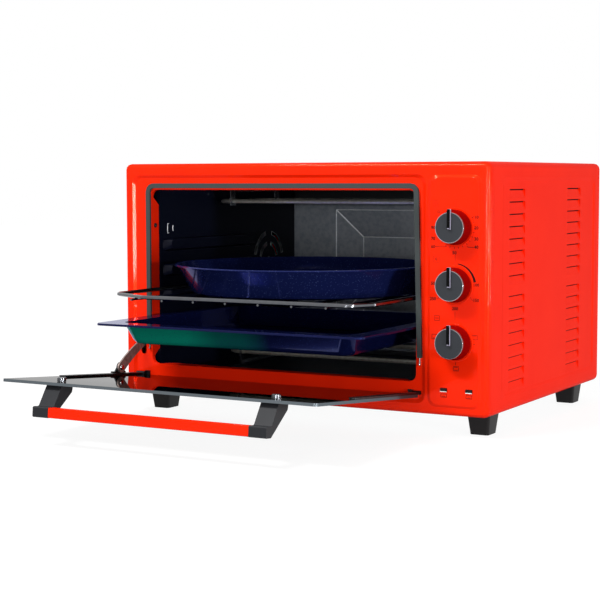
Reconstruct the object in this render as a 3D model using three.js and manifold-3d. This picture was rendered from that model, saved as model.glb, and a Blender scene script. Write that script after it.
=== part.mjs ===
// Countertop electric oven with a drop-down glass door, in millimetres, with Z up.
// While it is built, the front frame's outer plane is y = 0, the cabinet's middle is x = 0 and its
// underside is z = 0. The finished group is then moved so that its origin is on the worktop, below the
// middle of the whole object. The door is drawn open, with the rack and the tray pulled out.
import * as THREE from "three";
import { mergeVertices } from "three/addons/utils/BufferGeometryUtils.js";
import Module from "manifold-3d";

const wasm = await Module();
wasm.setup();

// Cabinet
const BODY_WIDTH = 585;
const BODY_HEIGHT = 340;
const BODY_DEPTH = 452;
const SHEET = 1.2; // pressed steel sheet
const SEAT_GAP = 0.3; // left between two pieces that touch
const OVERRUN = 2; // how far a cutting shape passes the face that it cuts
const LONG_EDGE_RADIUS = 9; // long edges of the cabinet, seen from the front
const FRONT_EDGE_RADIUS = 6; // rolled edge round the front frame
const FRONT_RIM_DEPTH = 12; // how far the front frame wraps back over the cabinet
const REAR_EDGE_RADIUS = 6; // rolled edge where the cover turns in at the back
const COVER_FLANGE = 22; // lower flange of the cover, turned in under the cabinet
const BASE_FRONT = 8;

// Feet
const FOOT_HEIGHT = 30;
const FOOT_WIDTH = 34;
const FOOT_LENGTH = 37;
const FOOT_TAPER = 3.5;
const FOOT_RADIUS = 4;
const FOOT_SIDE_INSET = 14.5;
const FOOT_FRONT_INSET = 40;
const FOOT_REAR_INSET = 34;
const FOOT_SCREW_BORE = 10;
const FOOT_SCREW_DEPTH = 18;

// Recess in the front frame that the closed door covers
const RECESS_SIDE_MARGIN = 13.5; // in from the cabinet's left side
const RECESS_PANEL_GAP = 4; // between the recess and the control panel
const RECESS_BOTTOM = 14;
const RECESS_TOP_MARGIN = 16.6;
const RECESS_DEPTH = 2.5;
const RECESS_RAMP = 4.5;
const RECESS_RADIUS = 12;

// Raised control panel on the front frame
const PANEL_SIDE_MARGIN = 11; // in from the cabinet's right side
const PANEL_WIDTH = 77;
const PANEL_BOTTOM = 11;
const PANEL_TOP_MARGIN = 17.5;
const PANEL_RAISE = 2;
const PANEL_RAMP = 3.5;
const PANEL_RADIUS = 11;

// Opening of the front frame, with its return flange
const OPENING_LEFT_MARGIN = 32; // in from the recess's left, right and top edges
const OPENING_RIGHT_MARGIN = 14.5;
const OPENING_TOP_MARGIN = 21.5;
const OPENING_BOTTOM = 43.2;
const OPENING_RADIUS = 10;
const FLANGE_DEPTH = 22; // rear end of the return flange, behind the front plane
const FLANGE_RELIEF = 14; // how far each flange stops short of the corner at its rear end
const FLANGE_RELIEF_START = 6;

// Slot that the door arm passes
const SLOT_MARGIN = 11.8; // in from the recess's left edge
const SLOT_WIDTH = 9.2;
const SLOT_BOTTOM = 57;
const SLOT_TOP = 102;

// Pressed panel and louvres of the cover's sides
const SIDE_PRESS_FRONT = 46;
const SIDE_PRESS_REAR_MARGIN = 27;
const SIDE_PRESS_END_MARGIN = 21; // in from the cabinet's underside and top
const SIDE_PRESS_DEPTH = 1.6;
const SIDE_PRESS_RAMP = 5;
const SIDE_PRESS_RADIUS = 12;
const LOUVRE_LENGTH = 58;
const LOUVRE_HEIGHT = 12.5;
const LOUVRE_DEPTH = 3.2;
const LOUVRE_PITCH = 16.75;
const LOUVRE_GROUP_GAP = 27.8; // from the last slit of the upper group to the first of the lower one
const LOUVRE_TOP_MARGIN = 37;
const LOUVRE_LOW_MARGIN = 27; // at least this much below the lowest louvre
const LOUVRE_FRONT_COLUMN = 74;
const LOUVRE_REAR_MARGIN = 90; // behind the rear column

// Rear cover
const REAR_FLANGE = 10;
const REAR_VENT_LENGTH = 46;
const REAR_VENT_HEIGHT = 4;
const REAR_VENT_PITCH_X = 60;
const REAR_VENT_PITCH_Z = 12;
const REAR_VENT_COLUMNS = 6;
const REAR_VENT_ROWS = 2;
const REAR_VENT_TOP_MARGIN = 35;
const GLAND_MARGIN = 57.5; // in from the cabinet's right side
const GLAND_Z = 42;
const GLAND_BORE = 7;
const GLAND_NECK = 14;
const GLAND_HEAD = 21;
const GLAND_HEAD_LENGTH = 7;
const GLAND_TAIL = 9;

// Cavity
const LINER = 1; // enamelled sheet of the cavity
const CAVITY_SIDE_MARGIN = 1.5; // cavity walls outside the opening's edges
const CAVITY_RIGHT_MARGIN = 2.4;
const CAVITY_FLOOR = 30;
const CAVITY_BACK_MARGIN = 22; // between the cavity's back wall and the cabinet's rear
const CAVITY_LIP = 11;
const RIB_LOWEST = 114; // height of the lowest of the shelf ledges
const RIB_PITCH = 38;
const RIB_TOP_GAP = 40; // at least this much between the highest ledge and the cavity's ceiling
const RIB_HEIGHT = 19;
const RIB_DEPTH = 13.5;
const RIB_FRONT = 30;
const RIB_REAR_MARGIN = 145; // between the ledges and the cavity's back wall
const RIB_DRAFT = 4;
const RIB_RADIUS = 6;
const BACK_PRESS_SIDE_MARGIN = 82; // round the pyramid stump stamped into the cavity's back wall
const BACK_PRESS_LOW_MARGIN = 49;
const BACK_PRESS_HIGH_MARGIN = 38.4;
const BACK_PRESS_SLOPE = 46;
const BACK_PRESS_DEPTH = 12;
const FLOOR_BEAD_DEPTH = 3;
const FLOOR_BEAD_WIDTH = 16;
const FLOOR_BEAD_INSET = 60;
const GASKET_WIDTH = 7;
const GASKET_THICKNESS = 3.6;
const GASKET_TOP_MARGIN = 9.4; // outside the opening's top, left and right edges
const GASKET_LEFT_MARGIN = 7;
const GASKET_RIGHT_MARGIN = 4;
const GASKET_LEAN = 5.7; // how far the right side leans out at its lower end
const GASKET_BOTTOM = 76;
const GASKET_RADIUS = 9;
const HOOK_WIRE = 2.4;
const HOOK_LENGTH = 9;
const HOOK_BEAD_RADIUS = 1.7;

// Convection fan on the left of the cavity
const FAN_BACK_GAP = 88; // between the fan's axis and the cavity's back wall
const FAN_Z = 183;
const FAN_RADIUS = 46;
const FAN_HUB_RADIUS = 12;
const FAN_HUB_LENGTH = 13;
const FAN_BLADE_WIDTH = 10;
const FAN_BLADE_SHEET = 1.5;
const FAN_BLADE_COUNT = 8;
const FAN_WALL_GAP = 4;
const FAN_SHAFT_RADIUS = 3;
const FAN_SHAFT_CLEARANCE = 0.4;
const MOTOR_RADIUS = 34;
const MOTOR_LENGTH = 13;
const MOTOR_FAN_GAP = 3;
const MOTOR_LEG_WIDTH = 12;
const MOTOR_LEG_REACH = 62;
const MOTOR_PLATE = 2;
const GRILLE_RING_RADII = [27, 45];
const GRILLE_SLOT_WIDTH = 6;
const GRILLE_BRIDGE_DEGREES = 26;
const GRILLE_CENTRE_RADIUS = 5;

// Heating rods
const ROD_RADIUS = 3.25;
const ROD_BEND = 22;
const ROD_CLEARANCE = 0.6;
const ROD_TAIL = 24; // terminal end beyond the cavity's right wall
const TERMINAL_RADIUS = 1.6;
const TERMINAL_LENGTH = 10;
const UPPER_ROD_DROP = 20.4; // below the cavity's ceiling
const UPPER_ROD_FRONT = 163;
const UPPER_ROD_BACK_GAP = 130; // between the rear run and the cavity's back wall
const UPPER_ROD_SIDE_GAP = 13.5; // between the bend and the cavity's left wall
const LOWER_ROD_Z = 47;
const LOWER_ROD_FRONT = 173;
const LOWER_ROD_BACK_GAP = 80;
const LOWER_ROD_SIDE_GAP = 23.5;
const CLIP_INSET = 27;
const CLIP_THICKNESS = 1.5;
const CLIP_EYE_MARGIN = 3;
const CLIP_FOOT = 12;

// Door
const DOOR_OPEN_DEGREES = 85; // from shut to the drawn position, 5 degrees above level
const HINGE_Y = -3.1;
const HINGE_Z = 28.9;
const GLASS_OVERHANG = 6; // past the recess's left edge
const GLASS_RIGHT_MARGIN = 5.5; // in from the recess's right edge
const GLASS_BOTTOM = 3.6; // from the hinge axis along the door
const GLASS_TOP_MARGIN = 19.1; // from the glass's upper edge, when shut, to the cabinet's top
const GLASS_THICKNESS = 4;
const GLASS_RADIUS = 5;
const GLASS_HOLE_RADIUS = 4;
const BAR_THICKNESS = 2.2;
const BAR_FACE = 0.6; // inner face of the hinge bars, out of the door's plane
const BAR_WIDTH = 12;
const BAR_LENGTH = 190;
const LEFT_BAR_INSET = 13.5; // from the glass's left edge, under the door arm
const BAR_TIP = 5; // corner radius of a bar's upper end
const KNUCKLE_RADIUS = 2.8;
const HINGE_PIN_RADIUS = 1.3;
const HINGE_CLEARANCE = 0.35;
const LUG_THICKNESS = 2;
const LUG_FOOT_WIDTH = 8;
const LUG_FOOT_HEIGHT = 7;
const ARM_PIN_U = 52.7; // along the door from the hinge axis
const ARM_PIN_W = 9.1; // out of the door's plane, towards the cavity
const ARM_PIN_RADIUS = 2.4;
const ARM_HEAD_RADIUS = 4;
const ARM_HEAD_LENGTH = 1.4;
const ARM_CLEARANCE = 0.35;
const ARM_THICKNESS = 2.4;
const ARM_EYE_RADIUS = 8;
const ARM_END_RADIUS = 5;
const ARM_LENGTH = 112;
const ARM_START_DEGREES = 38;
const ARM_END_DEGREES = 10;
const ARM_STEPS = 8;
const ARM_SPRING_HOLE = 1.8;
const EAR_THICKNESS = 2.2;
const EAR_LENGTH = 28;
const EAR_RADIUS = 7.4;
const EAR_FOOT = 2;

// Handle
const HANDLE_LEFT_INSET = 82.8; // from the glass's side edges to the middles of the brackets
const HANDLE_RIGHT_INSET = 68.2;
const BRACKET_WIDTH = 25;
const STEM_NEAR = -31; // places along the door from the glass's upper edge
const STEM_FAR = -7.5;
const STEM_SHOULDER = -2.5;
const BAR_NEAR = 7;
const BAR_FAR = 20;
const NECK_HEIGHT = 8.5; // heights off the glass's outer face
const BAR_RISE = 27;
const BAR_DROP = 41;
const HANDLE_CHAMFER = 1.4;
const BUSH_INSET = 22.6; // below the glass's upper edge
const BUSH_RADIUS = 6;
const BUSH_HEIGHT = 5.6;
const BUSH_STUD_RADIUS = 3;
const BUSH_STUD_REACH = 9;
const BUSH_CHAMFER = 1;

// Controls
const KNOB_INSET = 37; // from the panel's right edge
const KNOB_MIDDLE_Z = 176.3;
const KNOB_PITCH = 76.7;
const KNOB_LENGTH = 16.5;
const KNOB_BASE_RADIUS = 23.3;
const KNOB_RADIUS = 21.3;
const KNOB_FLARE = 3;
const KNOB_BORE_DEPTH = 12;
const KNOB_PANEL_GAP = 0.7;
const CAP_RADIUS = 20.4;
const CAP_LENGTH = 2.6;
const CAP_BEVEL = 0.9;
const POINTER_WIDTH = 4.6;
const POINTER_REACH = 24.5;
const POINTER_HEIGHT = 3;
const SHAFT_RADIUS = 3;
const SHAFT_CLEARANCE = 0.4;
const SHAFT_FLAT = 0.8;
const PANEL_HOLE_RADIUS = 6;
const CHASSIS_Y = 8;
const CHASSIS_WIDTH = 56;
const CHASSIS_FLANGE = 8;
const CHASSIS_END_MARGIN = 34;
const UNIT_Y = 9.5; // front of the units behind the chassis plate
const TIMER_WIDTH = 50;
const TIMER_DEPTH = 30;
const THERMOSTAT_RADIUS = 21;
const THERMOSTAT_DEPTH = 24;
const SWITCH_WIDTH = 38;
const SWITCH_DEPTH = 34;
const UNIT_RADIUS = 3;
const UNIT_TAB_LENGTH = 8;
const UNIT_TAB_WIDTH = 6.3;
const UNIT_TAB_SHEET = 0.8;
const NECK_RADIUS = 5.2;
const LAMP_INSETS = [52.5, 16]; // from the panel's right edge
const LAMP_Z = 35;
const LAMP_WIDTH = 9.5;
const LAMP_HEIGHT = 5;
const LAMP_PROUD = 1.8;
const LAMP_LENGTH = 16;
const LAMP_COLLAR = 1.4;
const TERMINAL_BLOCK_LENGTH = 40;
const TERMINAL_BLOCK_WIDTH = 22;
const TERMINAL_BLOCK_HEIGHT = 17;
const TERMINAL_BLOCK_MARGIN = 52; // in from the cabinet's rear
const TERMINAL_POLE_COUNT = 3;
const TERMINAL_POLE_RADIUS = 3;

// Rack, tray and dish
const RACK_SIDE_GAP = 10; // between the rack and the cavity's side walls
const RACK_RIB = 1; // the ledge that carries it, counted from the lowest as 0
const RACK_FRONT = -143;
const RACK_BACK_GAP = 158; // between the rack and the cavity's back wall
const RACK_RIM_RADIUS = 2.75;
const RACK_WIRE_RADIUS = 1.75;
const RACK_WIRE_COUNT = 7;
const RACK_EDGE_SPACE = 51; // between a side rail and the nearest wire
const RACK_LEFT_CHAMFER = 69;
const RACK_RIGHT_CHAMFER = 18;
const RACK_CHAMFER_DEPTH = 36;
const RACK_BEND = 14;
const WELD_DEPTH = 0.6;
const TRAY_RIB = 0;
const TRAY_LEFT_GAP = 11.5; // between the tray's rim and the opening's side edges
const TRAY_RIGHT_GAP = 2.5;
const TRAY_FRONT = -156;
const TRAY_BACK_GAP = 206; // between the tray and the cavity's back wall
const TRAY_HEIGHT = 30;
const TRAY_WALL = 1.2;
const TRAY_FLANGE = 25;
const TRAY_LIP = 3; // height of the flange's turned-down edge
const TRAY_TAPER = 12;
const TRAY_CORNER = 12; // corner radius of the rim
const TRAY_RADIUS = 18; // corner radius of the trough
const TRAY_FLOOR_BEND = 6;
const DISH_SHIFT = 3.5; // to the right of the cavity's middle
const DISH_FRONT_GAP = 28; // between the rack's front and the dish
const DISH_SIDE_GAP = 15; // between the dish and the rack's rails
const DISH_HEIGHT = 42;
const DISH_WALL = 1.4;
const DISH_TAPER = 20;
const DISH_BEND = 10;
const DISH_ROLL = 3;

// Fineness of round shapes
const ROUND_COUNT = 24;
const SMALL_COUNT = 12;
const KNOB_COUNT = 30;
const BUSH_COUNT = 16;
const DISH_COUNT = 40;
const CORNER_COUNT = 3;
const ROLL_COUNT = 3;
const TRAY_CORNER_COUNT = 5;
const SWEEP_SIDES = 8;
const RACK_WIRE_SIDES = 6;
const GRAIN = 1e-3; // points are rounded to this, so that faces meant to be flush are flush

const halfWidth = BODY_WIDTH / 2;
const panelRight = halfWidth - PANEL_SIDE_MARGIN;
const panelLeft = panelRight - PANEL_WIDTH;
const panelTop = BODY_HEIGHT - PANEL_TOP_MARGIN;
const panelPlane = -PANEL_RAISE;
const recessLeft = RECESS_SIDE_MARGIN - halfWidth;
const recessRight = panelLeft - RECESS_PANEL_GAP;
const recessTop = BODY_HEIGHT - RECESS_TOP_MARGIN;
const recessFloor = RECESS_DEPTH; // y of the recess, where the gasket and the hinge lugs sit
const openingLeft = recessLeft + OPENING_LEFT_MARGIN;
const openingRight = recessRight - OPENING_RIGHT_MARGIN;
const openingTop = recessTop - OPENING_TOP_MARGIN;
const slotLeft = recessLeft + SLOT_MARGIN;
const cavityLeft = openingLeft + CAVITY_SIDE_MARGIN;
const cavityRight = openingRight + CAVITY_RIGHT_MARGIN;
const cavityTop = openingTop + CAVITY_SIDE_MARGIN;
const cavityFront = FLANGE_DEPTH + SEAT_GAP;
const cavityBackY = BODY_DEPTH - CAVITY_BACK_MARGIN;
const shelfMiddle = (cavityLeft + cavityRight) / 2;
const ribCount = Math.floor((cavityTop - RIB_TOP_GAP - RIB_LOWEST) / RIB_PITCH) + 1;
const ribTops = Array.from({ length: ribCount }, (_, i) => RIB_LOWEST + i * RIB_PITCH);
const fanY = cavityBackY - FAN_BACK_GAP;
const glandX = halfWidth - GLAND_MARGIN;
const glassLeft = recessLeft - GLASS_OVERHANG;
const glassRight = recessRight - GLASS_RIGHT_MARGIN;
const glassTop = BODY_HEIGHT - GLASS_TOP_MARGIN - HINGE_Z; // from the hinge axis along the door
const barBack = BAR_FACE - BAR_THICKNESS;
const glassInner = barBack - SEAT_GAP; // the glass face that the bars lie on
const glassOuter = glassInner - GLASS_THICKNESS;
const bracketPlaces = [glassLeft + HANDLE_LEFT_INSET, glassRight - HANDLE_RIGHT_INSET];
const bushU = glassTop - BUSH_INSET;
const knobX = panelRight - KNOB_INSET;
const knobHeights = [KNOB_MIDDLE_Z + KNOB_PITCH, KNOB_MIDDLE_Z, KNOB_MIDDLE_Z - KNOB_PITCH];
const lampPlaces = LAMP_INSETS.map((inset) => panelRight - inset);

// Axes: a shape is drawn in (a, b) and given its length along c.
const AXES = {
  x: new THREE.Matrix4().makeBasis(
    new THREE.Vector3(0, 1, 0), new THREE.Vector3(0, 0, 1), new THREE.Vector3(1, 0, 0)),
  y: new THREE.Matrix4().makeBasis(
    new THREE.Vector3(1, 0, 0), new THREE.Vector3(0, 0, 1), new THREE.Vector3(0, 1, 0)),
  z: new THREE.Matrix4(),
};

// A closed three.js geometry as a solid that can be joined and cut, facing out.
function toSolid(geometry) {
  const bare = geometry.clone();
  bare.deleteAttribute("normal");
  bare.deleteAttribute("uv");
  const points = bare.attributes.position;
  points.array.forEach((value, i) => {
    points.array[i] = Math.round(value / GRAIN) * GRAIN;
  });
  const merged = mergeVertices(bare, GRAIN / 2);
  const place = merged.attributes.position;
  const corner = [0, 1, 2].map(() => new THREE.Vector3());
  const triVerts = [];
  let volume = 0;
  for (let i = 0; i < merged.index.count; i += 3) {
    const [a, b, c] = [0, 1, 2].map((k) => merged.index.getX(i + k));
    if (a === b || b === c || c === a) continue;
    [a, b, c].forEach((v, k) => corner[k].fromBufferAttribute(place, v));
    volume += corner[0].dot(corner[1].cross(corner[2]));
    triVerts.push(a, b, c);
  }
  if (volume < 0) triVerts.reverse();
  return new wasm.Manifold(
    new wasm.Mesh({
      numProp: 3,
      vertProperties: new Float32Array(place.array),
      triVerts: new Uint32Array(triVerts),
    }),
  );
}

function join(...solids) {
  return solids.flat().reduce((whole, piece) => whole.add(piece));
}

function cut(base, ...tools) {
  return base.subtract(join(...tools));
}

// A flat shape drawn in (a, b), from one level to another along an axis, each arc in equal steps.
function extrude(shape, axis, from, to, corners = CORNER_COUNT) {
  const geometry = new THREE.ExtrudeGeometry(shape, {
    depth: to - from,
    bevelEnabled: false,
    curveSegments: corners / 2,
  });
  return toSolid(geometry.translate(0, 0, from).applyMatrix4(AXES[axis]));
}

function polygon(points) {
  return new THREE.Shape(points.map(([a, b]) => new THREE.Vector2(a, b)));
}

function roundedRectangle(a0, b0, a1, b1, radius) {
  const shape = new THREE.Shape();
  const quarter = Math.PI / 2;
  [[a1, b1], [a0, b1], [a0, b0], [a1, b0]].forEach(([a, b], i) => {
    const middleA = a === a0 ? a0 + radius : a1 - radius;
    const middleB = b === b0 ? b0 + radius : b1 - radius;
    shape.absarc(middleA, middleB, radius, i * quarter, (i + 1) * quarter, false);
  });
  return shape;
}

function box(x0, x1, y0, y1, z0, z1) {
  const geometry = new THREE.BoxGeometry(x1 - x0, y1 - y0, z1 - z0);
  return toSolid(geometry.translate((x0 + x1) / 2, (y0 + y1) / 2, (z0 + z1) / 2));
}

// A round bar or hole along an axis, its middle at (a, b).
function cylinder(axis, a, b, radius, from, to, count = ROUND_COUNT) {
  const shape = new THREE.Shape().absarc(a, b, radius, 0, 2 * Math.PI, false);
  return extrude(shape, axis, from, to, count);
}

// A turned piece: profile points are [radius, level], and the axis passes (a, b).
function revolve(profile, axis, a, b, count = ROUND_COUNT) {
  const points = profile.map(([radius, level]) => new THREE.Vector2(radius, level));
  const geometry = new THREE.LatheGeometry(points, count);
  geometry.rotateX(Math.PI / 2).translate(a, b, 0);
  return toSolid(geometry.applyMatrix4(AXES[axis]));
}

// Points of a rounded rectangle at one level, the same number for every size.
function ring([a0, b0, a1, b1], radius, level, count = CORNER_COUNT) {
  const points = [];
  for (let i = 0; i < 4; i += 1) {
    const a = i === 0 || i === 3 ? a1 - radius : a0 + radius;
    const b = i < 2 ? b1 - radius : b0 + radius;
    for (let k = 0; k <= count; k += 1) {
      const angle = (i + k / count) * Math.PI / 2;
      points.push([a + radius * Math.cos(angle), b + radius * Math.sin(angle), level]);
    }
  }
  return points;
}

// A solid skinned over rings of equal count, closed flat at both ends.
function loft(axis, rings) {
  const count = rings[0].length;
  const index = [];
  rings.slice(1).forEach((_, r) => {
    for (let i = 0; i < count; i += 1) {
      const a = r * count + i;
      const b = r * count + (i + 1) % count;
      index.push(a, b, b + count, a, b + count, a + count);
    }
  });
  const last = (rings.length - 1) * count;
  for (let i = 1; i < count - 1; i += 1) {
    index.push(0, i + 1, i, last, last + i, last + i + 1);
  }
  const geometry = new THREE.BufferGeometry();
  geometry.setAttribute("position", new THREE.Float32BufferAttribute(rings.flat(2), 3));
  geometry.setIndex(index);
  return toSolid(geometry.applyMatrix4(AXES[axis]));
}

function grow([a0, b0, a1, b1], amount) {
  return [a0 - amount, b0 - amount, a1 + amount, b1 + amount];
}

// A polyline with each inner corner turned into an arc of the given radius.
function rounded(points, radius, count = CORNER_COUNT) {
  const places = points.map((p) => new THREE.Vector3(...p));
  return places.flatMap((corner, i) => {
    if (i === 0 || i === places.length - 1) return [corner];
    const along = corner.clone().sub(places[i - 1]).normalize();
    const leave = places[i + 1].clone().sub(corner).normalize();
    const turn = along.angleTo(leave);
    const inward = leave.clone().addScaledVector(along, -Math.cos(turn)).normalize();
    const start = corner.clone().addScaledVector(along, -radius * Math.tan(turn / 2));
    return Array.from({ length: count + 1 }, (_, k) => {
      const angle = turn * k / count;
      return start.clone()
        .addScaledVector(along, radius * Math.sin(angle))
        .addScaledVector(inward, radius * (1 - Math.cos(angle)));
    });
  });
}

// A path that keeps each of its points, for sweeping a section along it.
class Route extends THREE.Curve {
  constructor(points) {
    super();
    this.points = points;
  }

  getPoint(share, target = new THREE.Vector3()) {
    const place = share * (this.points.length - 1);
    const i = Math.min(Math.floor(place), this.points.length - 2);
    return target.lerpVectors(this.points[i], this.points[i + 1], place - i);
  }

  getPointAt(share, target) {
    return this.getPoint(share, target);
  }

  getTangentAt(share, target = new THREE.Vector3()) {
    const i = Math.round(share * (this.points.length - 1));
    const before = this.points[Math.max(i - 1, 0)];
    const after = this.points[Math.min(i + 1, this.points.length - 1)];
    return target.subVectors(after, before).normalize();
  }
}

// A round wire along a polyline.
function wire(points, radius, sides = SWEEP_SIDES) {
  const section = Array.from({ length: sides }, (_, i) => {
    const angle = 2 * Math.PI * i / sides;
    return [radius * Math.cos(angle), radius * Math.sin(angle)];
  });
  const geometry = new THREE.ExtrudeGeometry(polygon(section), {
    steps: points.length - 1,
    extrudePath: new Route(points),
  });
  return toSolid(geometry);
}

function material(color, roughness, metalness) {
  return new THREE.MeshStandardMaterial({ color, roughness, metalness });
}

const FINISH = {
  paint: material(0xf8280c, 0.25, 0.1),
  enamel: material(0x0b0f26, 0.2, 0.1),
  plate: material(0x8d9094, 0.45, 0.9),
  dull: material(0x4a4d50, 0.4, 0.9),
  chrome: material(0xc8cacc, 0.12, 1),
  rod: material(0x6d6b66, 0.4, 0.9),
  glass: material(0x191b1c, 0.06, 0.1),
  plastic: material(0x2c2e32, 0.5, 0),
  knob: material(0xd8230c, 0.35, 0),
  cap: material(0x24272a, 0.35, 0.6),
  seal: material(0x465555, 0.8, 0),
  lamp: material(0x9c120c, 0.2, 0),
  fitting: material(0xd9d4c8, 0.6, 0),
  arm: material(0x4b3a36, 0.35, 0.8),
};

// Hangs a solid in a group under its node's name.
function add(group, name, solid, finish) {
  const { vertProperties, triVerts, numProp } = solid.getMesh();
  if (numProp !== 3) throw new Error(name + " carries more than positions");
  const geometry = new THREE.BufferGeometry();
  geometry.setAttribute("position", new THREE.BufferAttribute(vertProperties, 3));
  geometry.setIndex(new THREE.BufferAttribute(triVerts, 1));
  const mesh = new THREE.Mesh(geometry.toNonIndexed(), finish);
  mesh.geometry.computeVertexNormals();
  mesh.name = name;
  group.add(mesh);
  return mesh;
}

// The cabinet's outline with a rolled edge at one end; the hollow inside it lies one sheet further in.
function rolledRings(edge, radius, direction, offset) {
  const outline = [-halfWidth, 0, halfWidth, BODY_HEIGHT];
  return Array.from({ length: ROLL_COUNT + 1 }, (_, k) => {
    const angle = k / ROLL_COUNT * Math.PI / 2;
    const drawnIn = radius * (1 - Math.sin(angle));
    const inner = (radius - offset) * (1 - Math.sin(angle));
    const inset = offset ? inner + offset : drawnIn;
    const level = edge + direction * ((radius - offset) * (1 - Math.cos(angle)) + offset);
    return ring(grow(outline, -inset), LONG_EDGE_RADIUS - inset, level);
  });
}

// A panel pressed out of flat sheet: the backing that the pressing makes, and the hollow to cut.
function pressing(axis, outline, radius, ramp, from, to, thickness) {
  const side = Math.sign(to - from);
  const inner = grow(outline, -ramp);
  const backing = loft(axis, [
    ring(grow(outline, thickness), radius + thickness, from + side * thickness / 2),
    ring(grow(inner, thickness), radius, to + side * thickness),
  ]);
  const hollow = loft(axis, [
    ring(outline, radius, from - side * OVERRUN),
    ring(outline, radius, from),
    ring(inner, radius, to),
  ]);
  return { backing, hollow };
}

// Return flange round the opening, cut back at an angle in each rear corner.
function openingFlange(opening) {
  const outer = ring(grow(opening, SHEET), OPENING_RADIUS + SHEET, recessFloor);
  const outerRear = ring(grow(opening, SHEET), OPENING_RADIUS + SHEET, FLANGE_DEPTH);
  const reliefs = [0, 2].flatMap((i) => [1, 3].map((j) => {
    const a = opening[i];
    const b = opening[j];
    const reach = (size) => [a - size, b - size, a + size, b + size];
    const sharp = SHEET;
    return loft("y", [
      ring(reach(OPENING_RADIUS + SHEET), sharp, recessFloor + FLANGE_RELIEF_START),
      ring(reach(OPENING_RADIUS + FLANGE_RELIEF), sharp, FLANGE_DEPTH + OVERRUN),
    ]);
  }));
  return cut(loft("y", [outer, outerRear]), ...reliefs);
}

function frontFrame() {
  const opening = [openingLeft, OPENING_BOTTOM, openingRight, openingTop];
  const rim = [-halfWidth, 0, halfWidth, BODY_HEIGHT];
  const outside = loft("y", [
    ...rolledRings(0, FRONT_EDGE_RADIUS, 1, 0),
    ring(rim, LONG_EDGE_RADIUS, FRONT_RIM_DEPTH),
  ]);
  const inside = loft("y", [
    ...rolledRings(0, FRONT_EDGE_RADIUS, 1, SHEET),
    ring(grow(rim, -SHEET), LONG_EDGE_RADIUS - SHEET, FRONT_RIM_DEPTH + OVERRUN),
  ]);
  const recess = pressing("y", [recessLeft, RECESS_BOTTOM, recessRight, recessTop],
    RECESS_RADIUS, RECESS_RAMP, 0, recessFloor, SHEET);
  const panel = [panelLeft, PANEL_BOTTOM, panelRight, panelTop];
  const raised = loft("y", [
    ring(panel, PANEL_RADIUS, SHEET / 2),
    ring(panel, PANEL_RADIUS, 0),
    ring(grow(panel, -PANEL_RAMP), PANEL_RADIUS, panelPlane),
  ]);
  const raisedHollow = loft("y", [
    ring(grow(panel, -SHEET), PANEL_RADIUS, SHEET + OVERRUN),
    ring(grow(panel, -SHEET), PANEL_RADIUS, SHEET),
    ring(grow(panel, -PANEL_RAMP - SHEET), PANEL_RADIUS, panelPlane + SHEET),
  ]);
  const shell = cut(join(cut(outside, inside), recess.backing, raised), recess.hollow, raisedHollow);
  const mouth = loft("y", [
    ring(opening, OPENING_RADIUS, -OVERRUN),
    ring(opening, OPENING_RADIUS, FLANGE_DEPTH + OVERRUN),
  ]);
  const slotRadius = SLOT_WIDTH / 2 - SEAT_GAP;
  const armSlot = extrude(
    roundedRectangle(slotLeft, SLOT_BOTTOM, slotLeft + SLOT_WIDTH, SLOT_TOP, slotRadius),
    "y", -OVERRUN, FRONT_RIM_DEPTH);
  const shaftHoles = knobHeights.map((z) =>
    cylinder("y", knobX, z, PANEL_HOLE_RADIUS, panelPlane - OVERRUN, FRONT_RIM_DEPTH, SMALL_COUNT));
  const lampHoles = lampPlaces.map((x) => box(
    x - LAMP_WIDTH / 2 - SEAT_GAP, x + LAMP_WIDTH / 2 + SEAT_GAP,
    panelPlane - OVERRUN, FRONT_RIM_DEPTH,
    LAMP_Z - LAMP_HEIGHT / 2 - SEAT_GAP, LAMP_Z + LAMP_HEIGHT / 2 + SEAT_GAP));
  return cut(join(shell, openingFlange(opening)), mouth, armSlot, ...shaftHoles, ...lampHoles);
}

// One louvre pressed into a side: a tongue that slopes in from its lower edge to a slit at its top.
// The sheet's outer face is at level, and inward is +1 or -1 along x.
function louvre(level, inward, start, slit) {
  const depth = level + inward * LOUVRE_DEPTH;
  const thick = inward * SHEET;
  const foot = slit - LOUVRE_HEIGHT;
  const tongue = polygon([
    [level + thick / 2, foot - SHEET], [depth + thick, slit], [level + thick / 2, slit],
  ]);
  const hollow = polygon([
    [level - thick, foot], [level, foot], [depth, slit], [level - thick, slit],
  ]);
  return {
    body: extrude(tongue, "y", start - SHEET, start + LOUVRE_LENGTH + SHEET),
    pocket: extrude(hollow, "y", start, start + LOUVRE_LENGTH),
  };
}

// Heights of the slits: two groups, each of as many louvres as the side's height holds.
function louvreSlits() {
  const room = BODY_HEIGHT - LOUVRE_TOP_MARGIN - LOUVRE_LOW_MARGIN - LOUVRE_HEIGHT - LOUVRE_GROUP_GAP;
  const count = Math.floor(room / LOUVRE_PITCH / 2) + 1;
  const group = Array.from({ length: count }, (_, i) => -i * LOUVRE_PITCH);
  const drop = -(count - 1) * LOUVRE_PITCH - LOUVRE_GROUP_GAP;
  return [...group, ...group.map((z) => z + drop)].map((z) => z + BODY_HEIGHT - LOUVRE_TOP_MARGIN);
}

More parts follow.
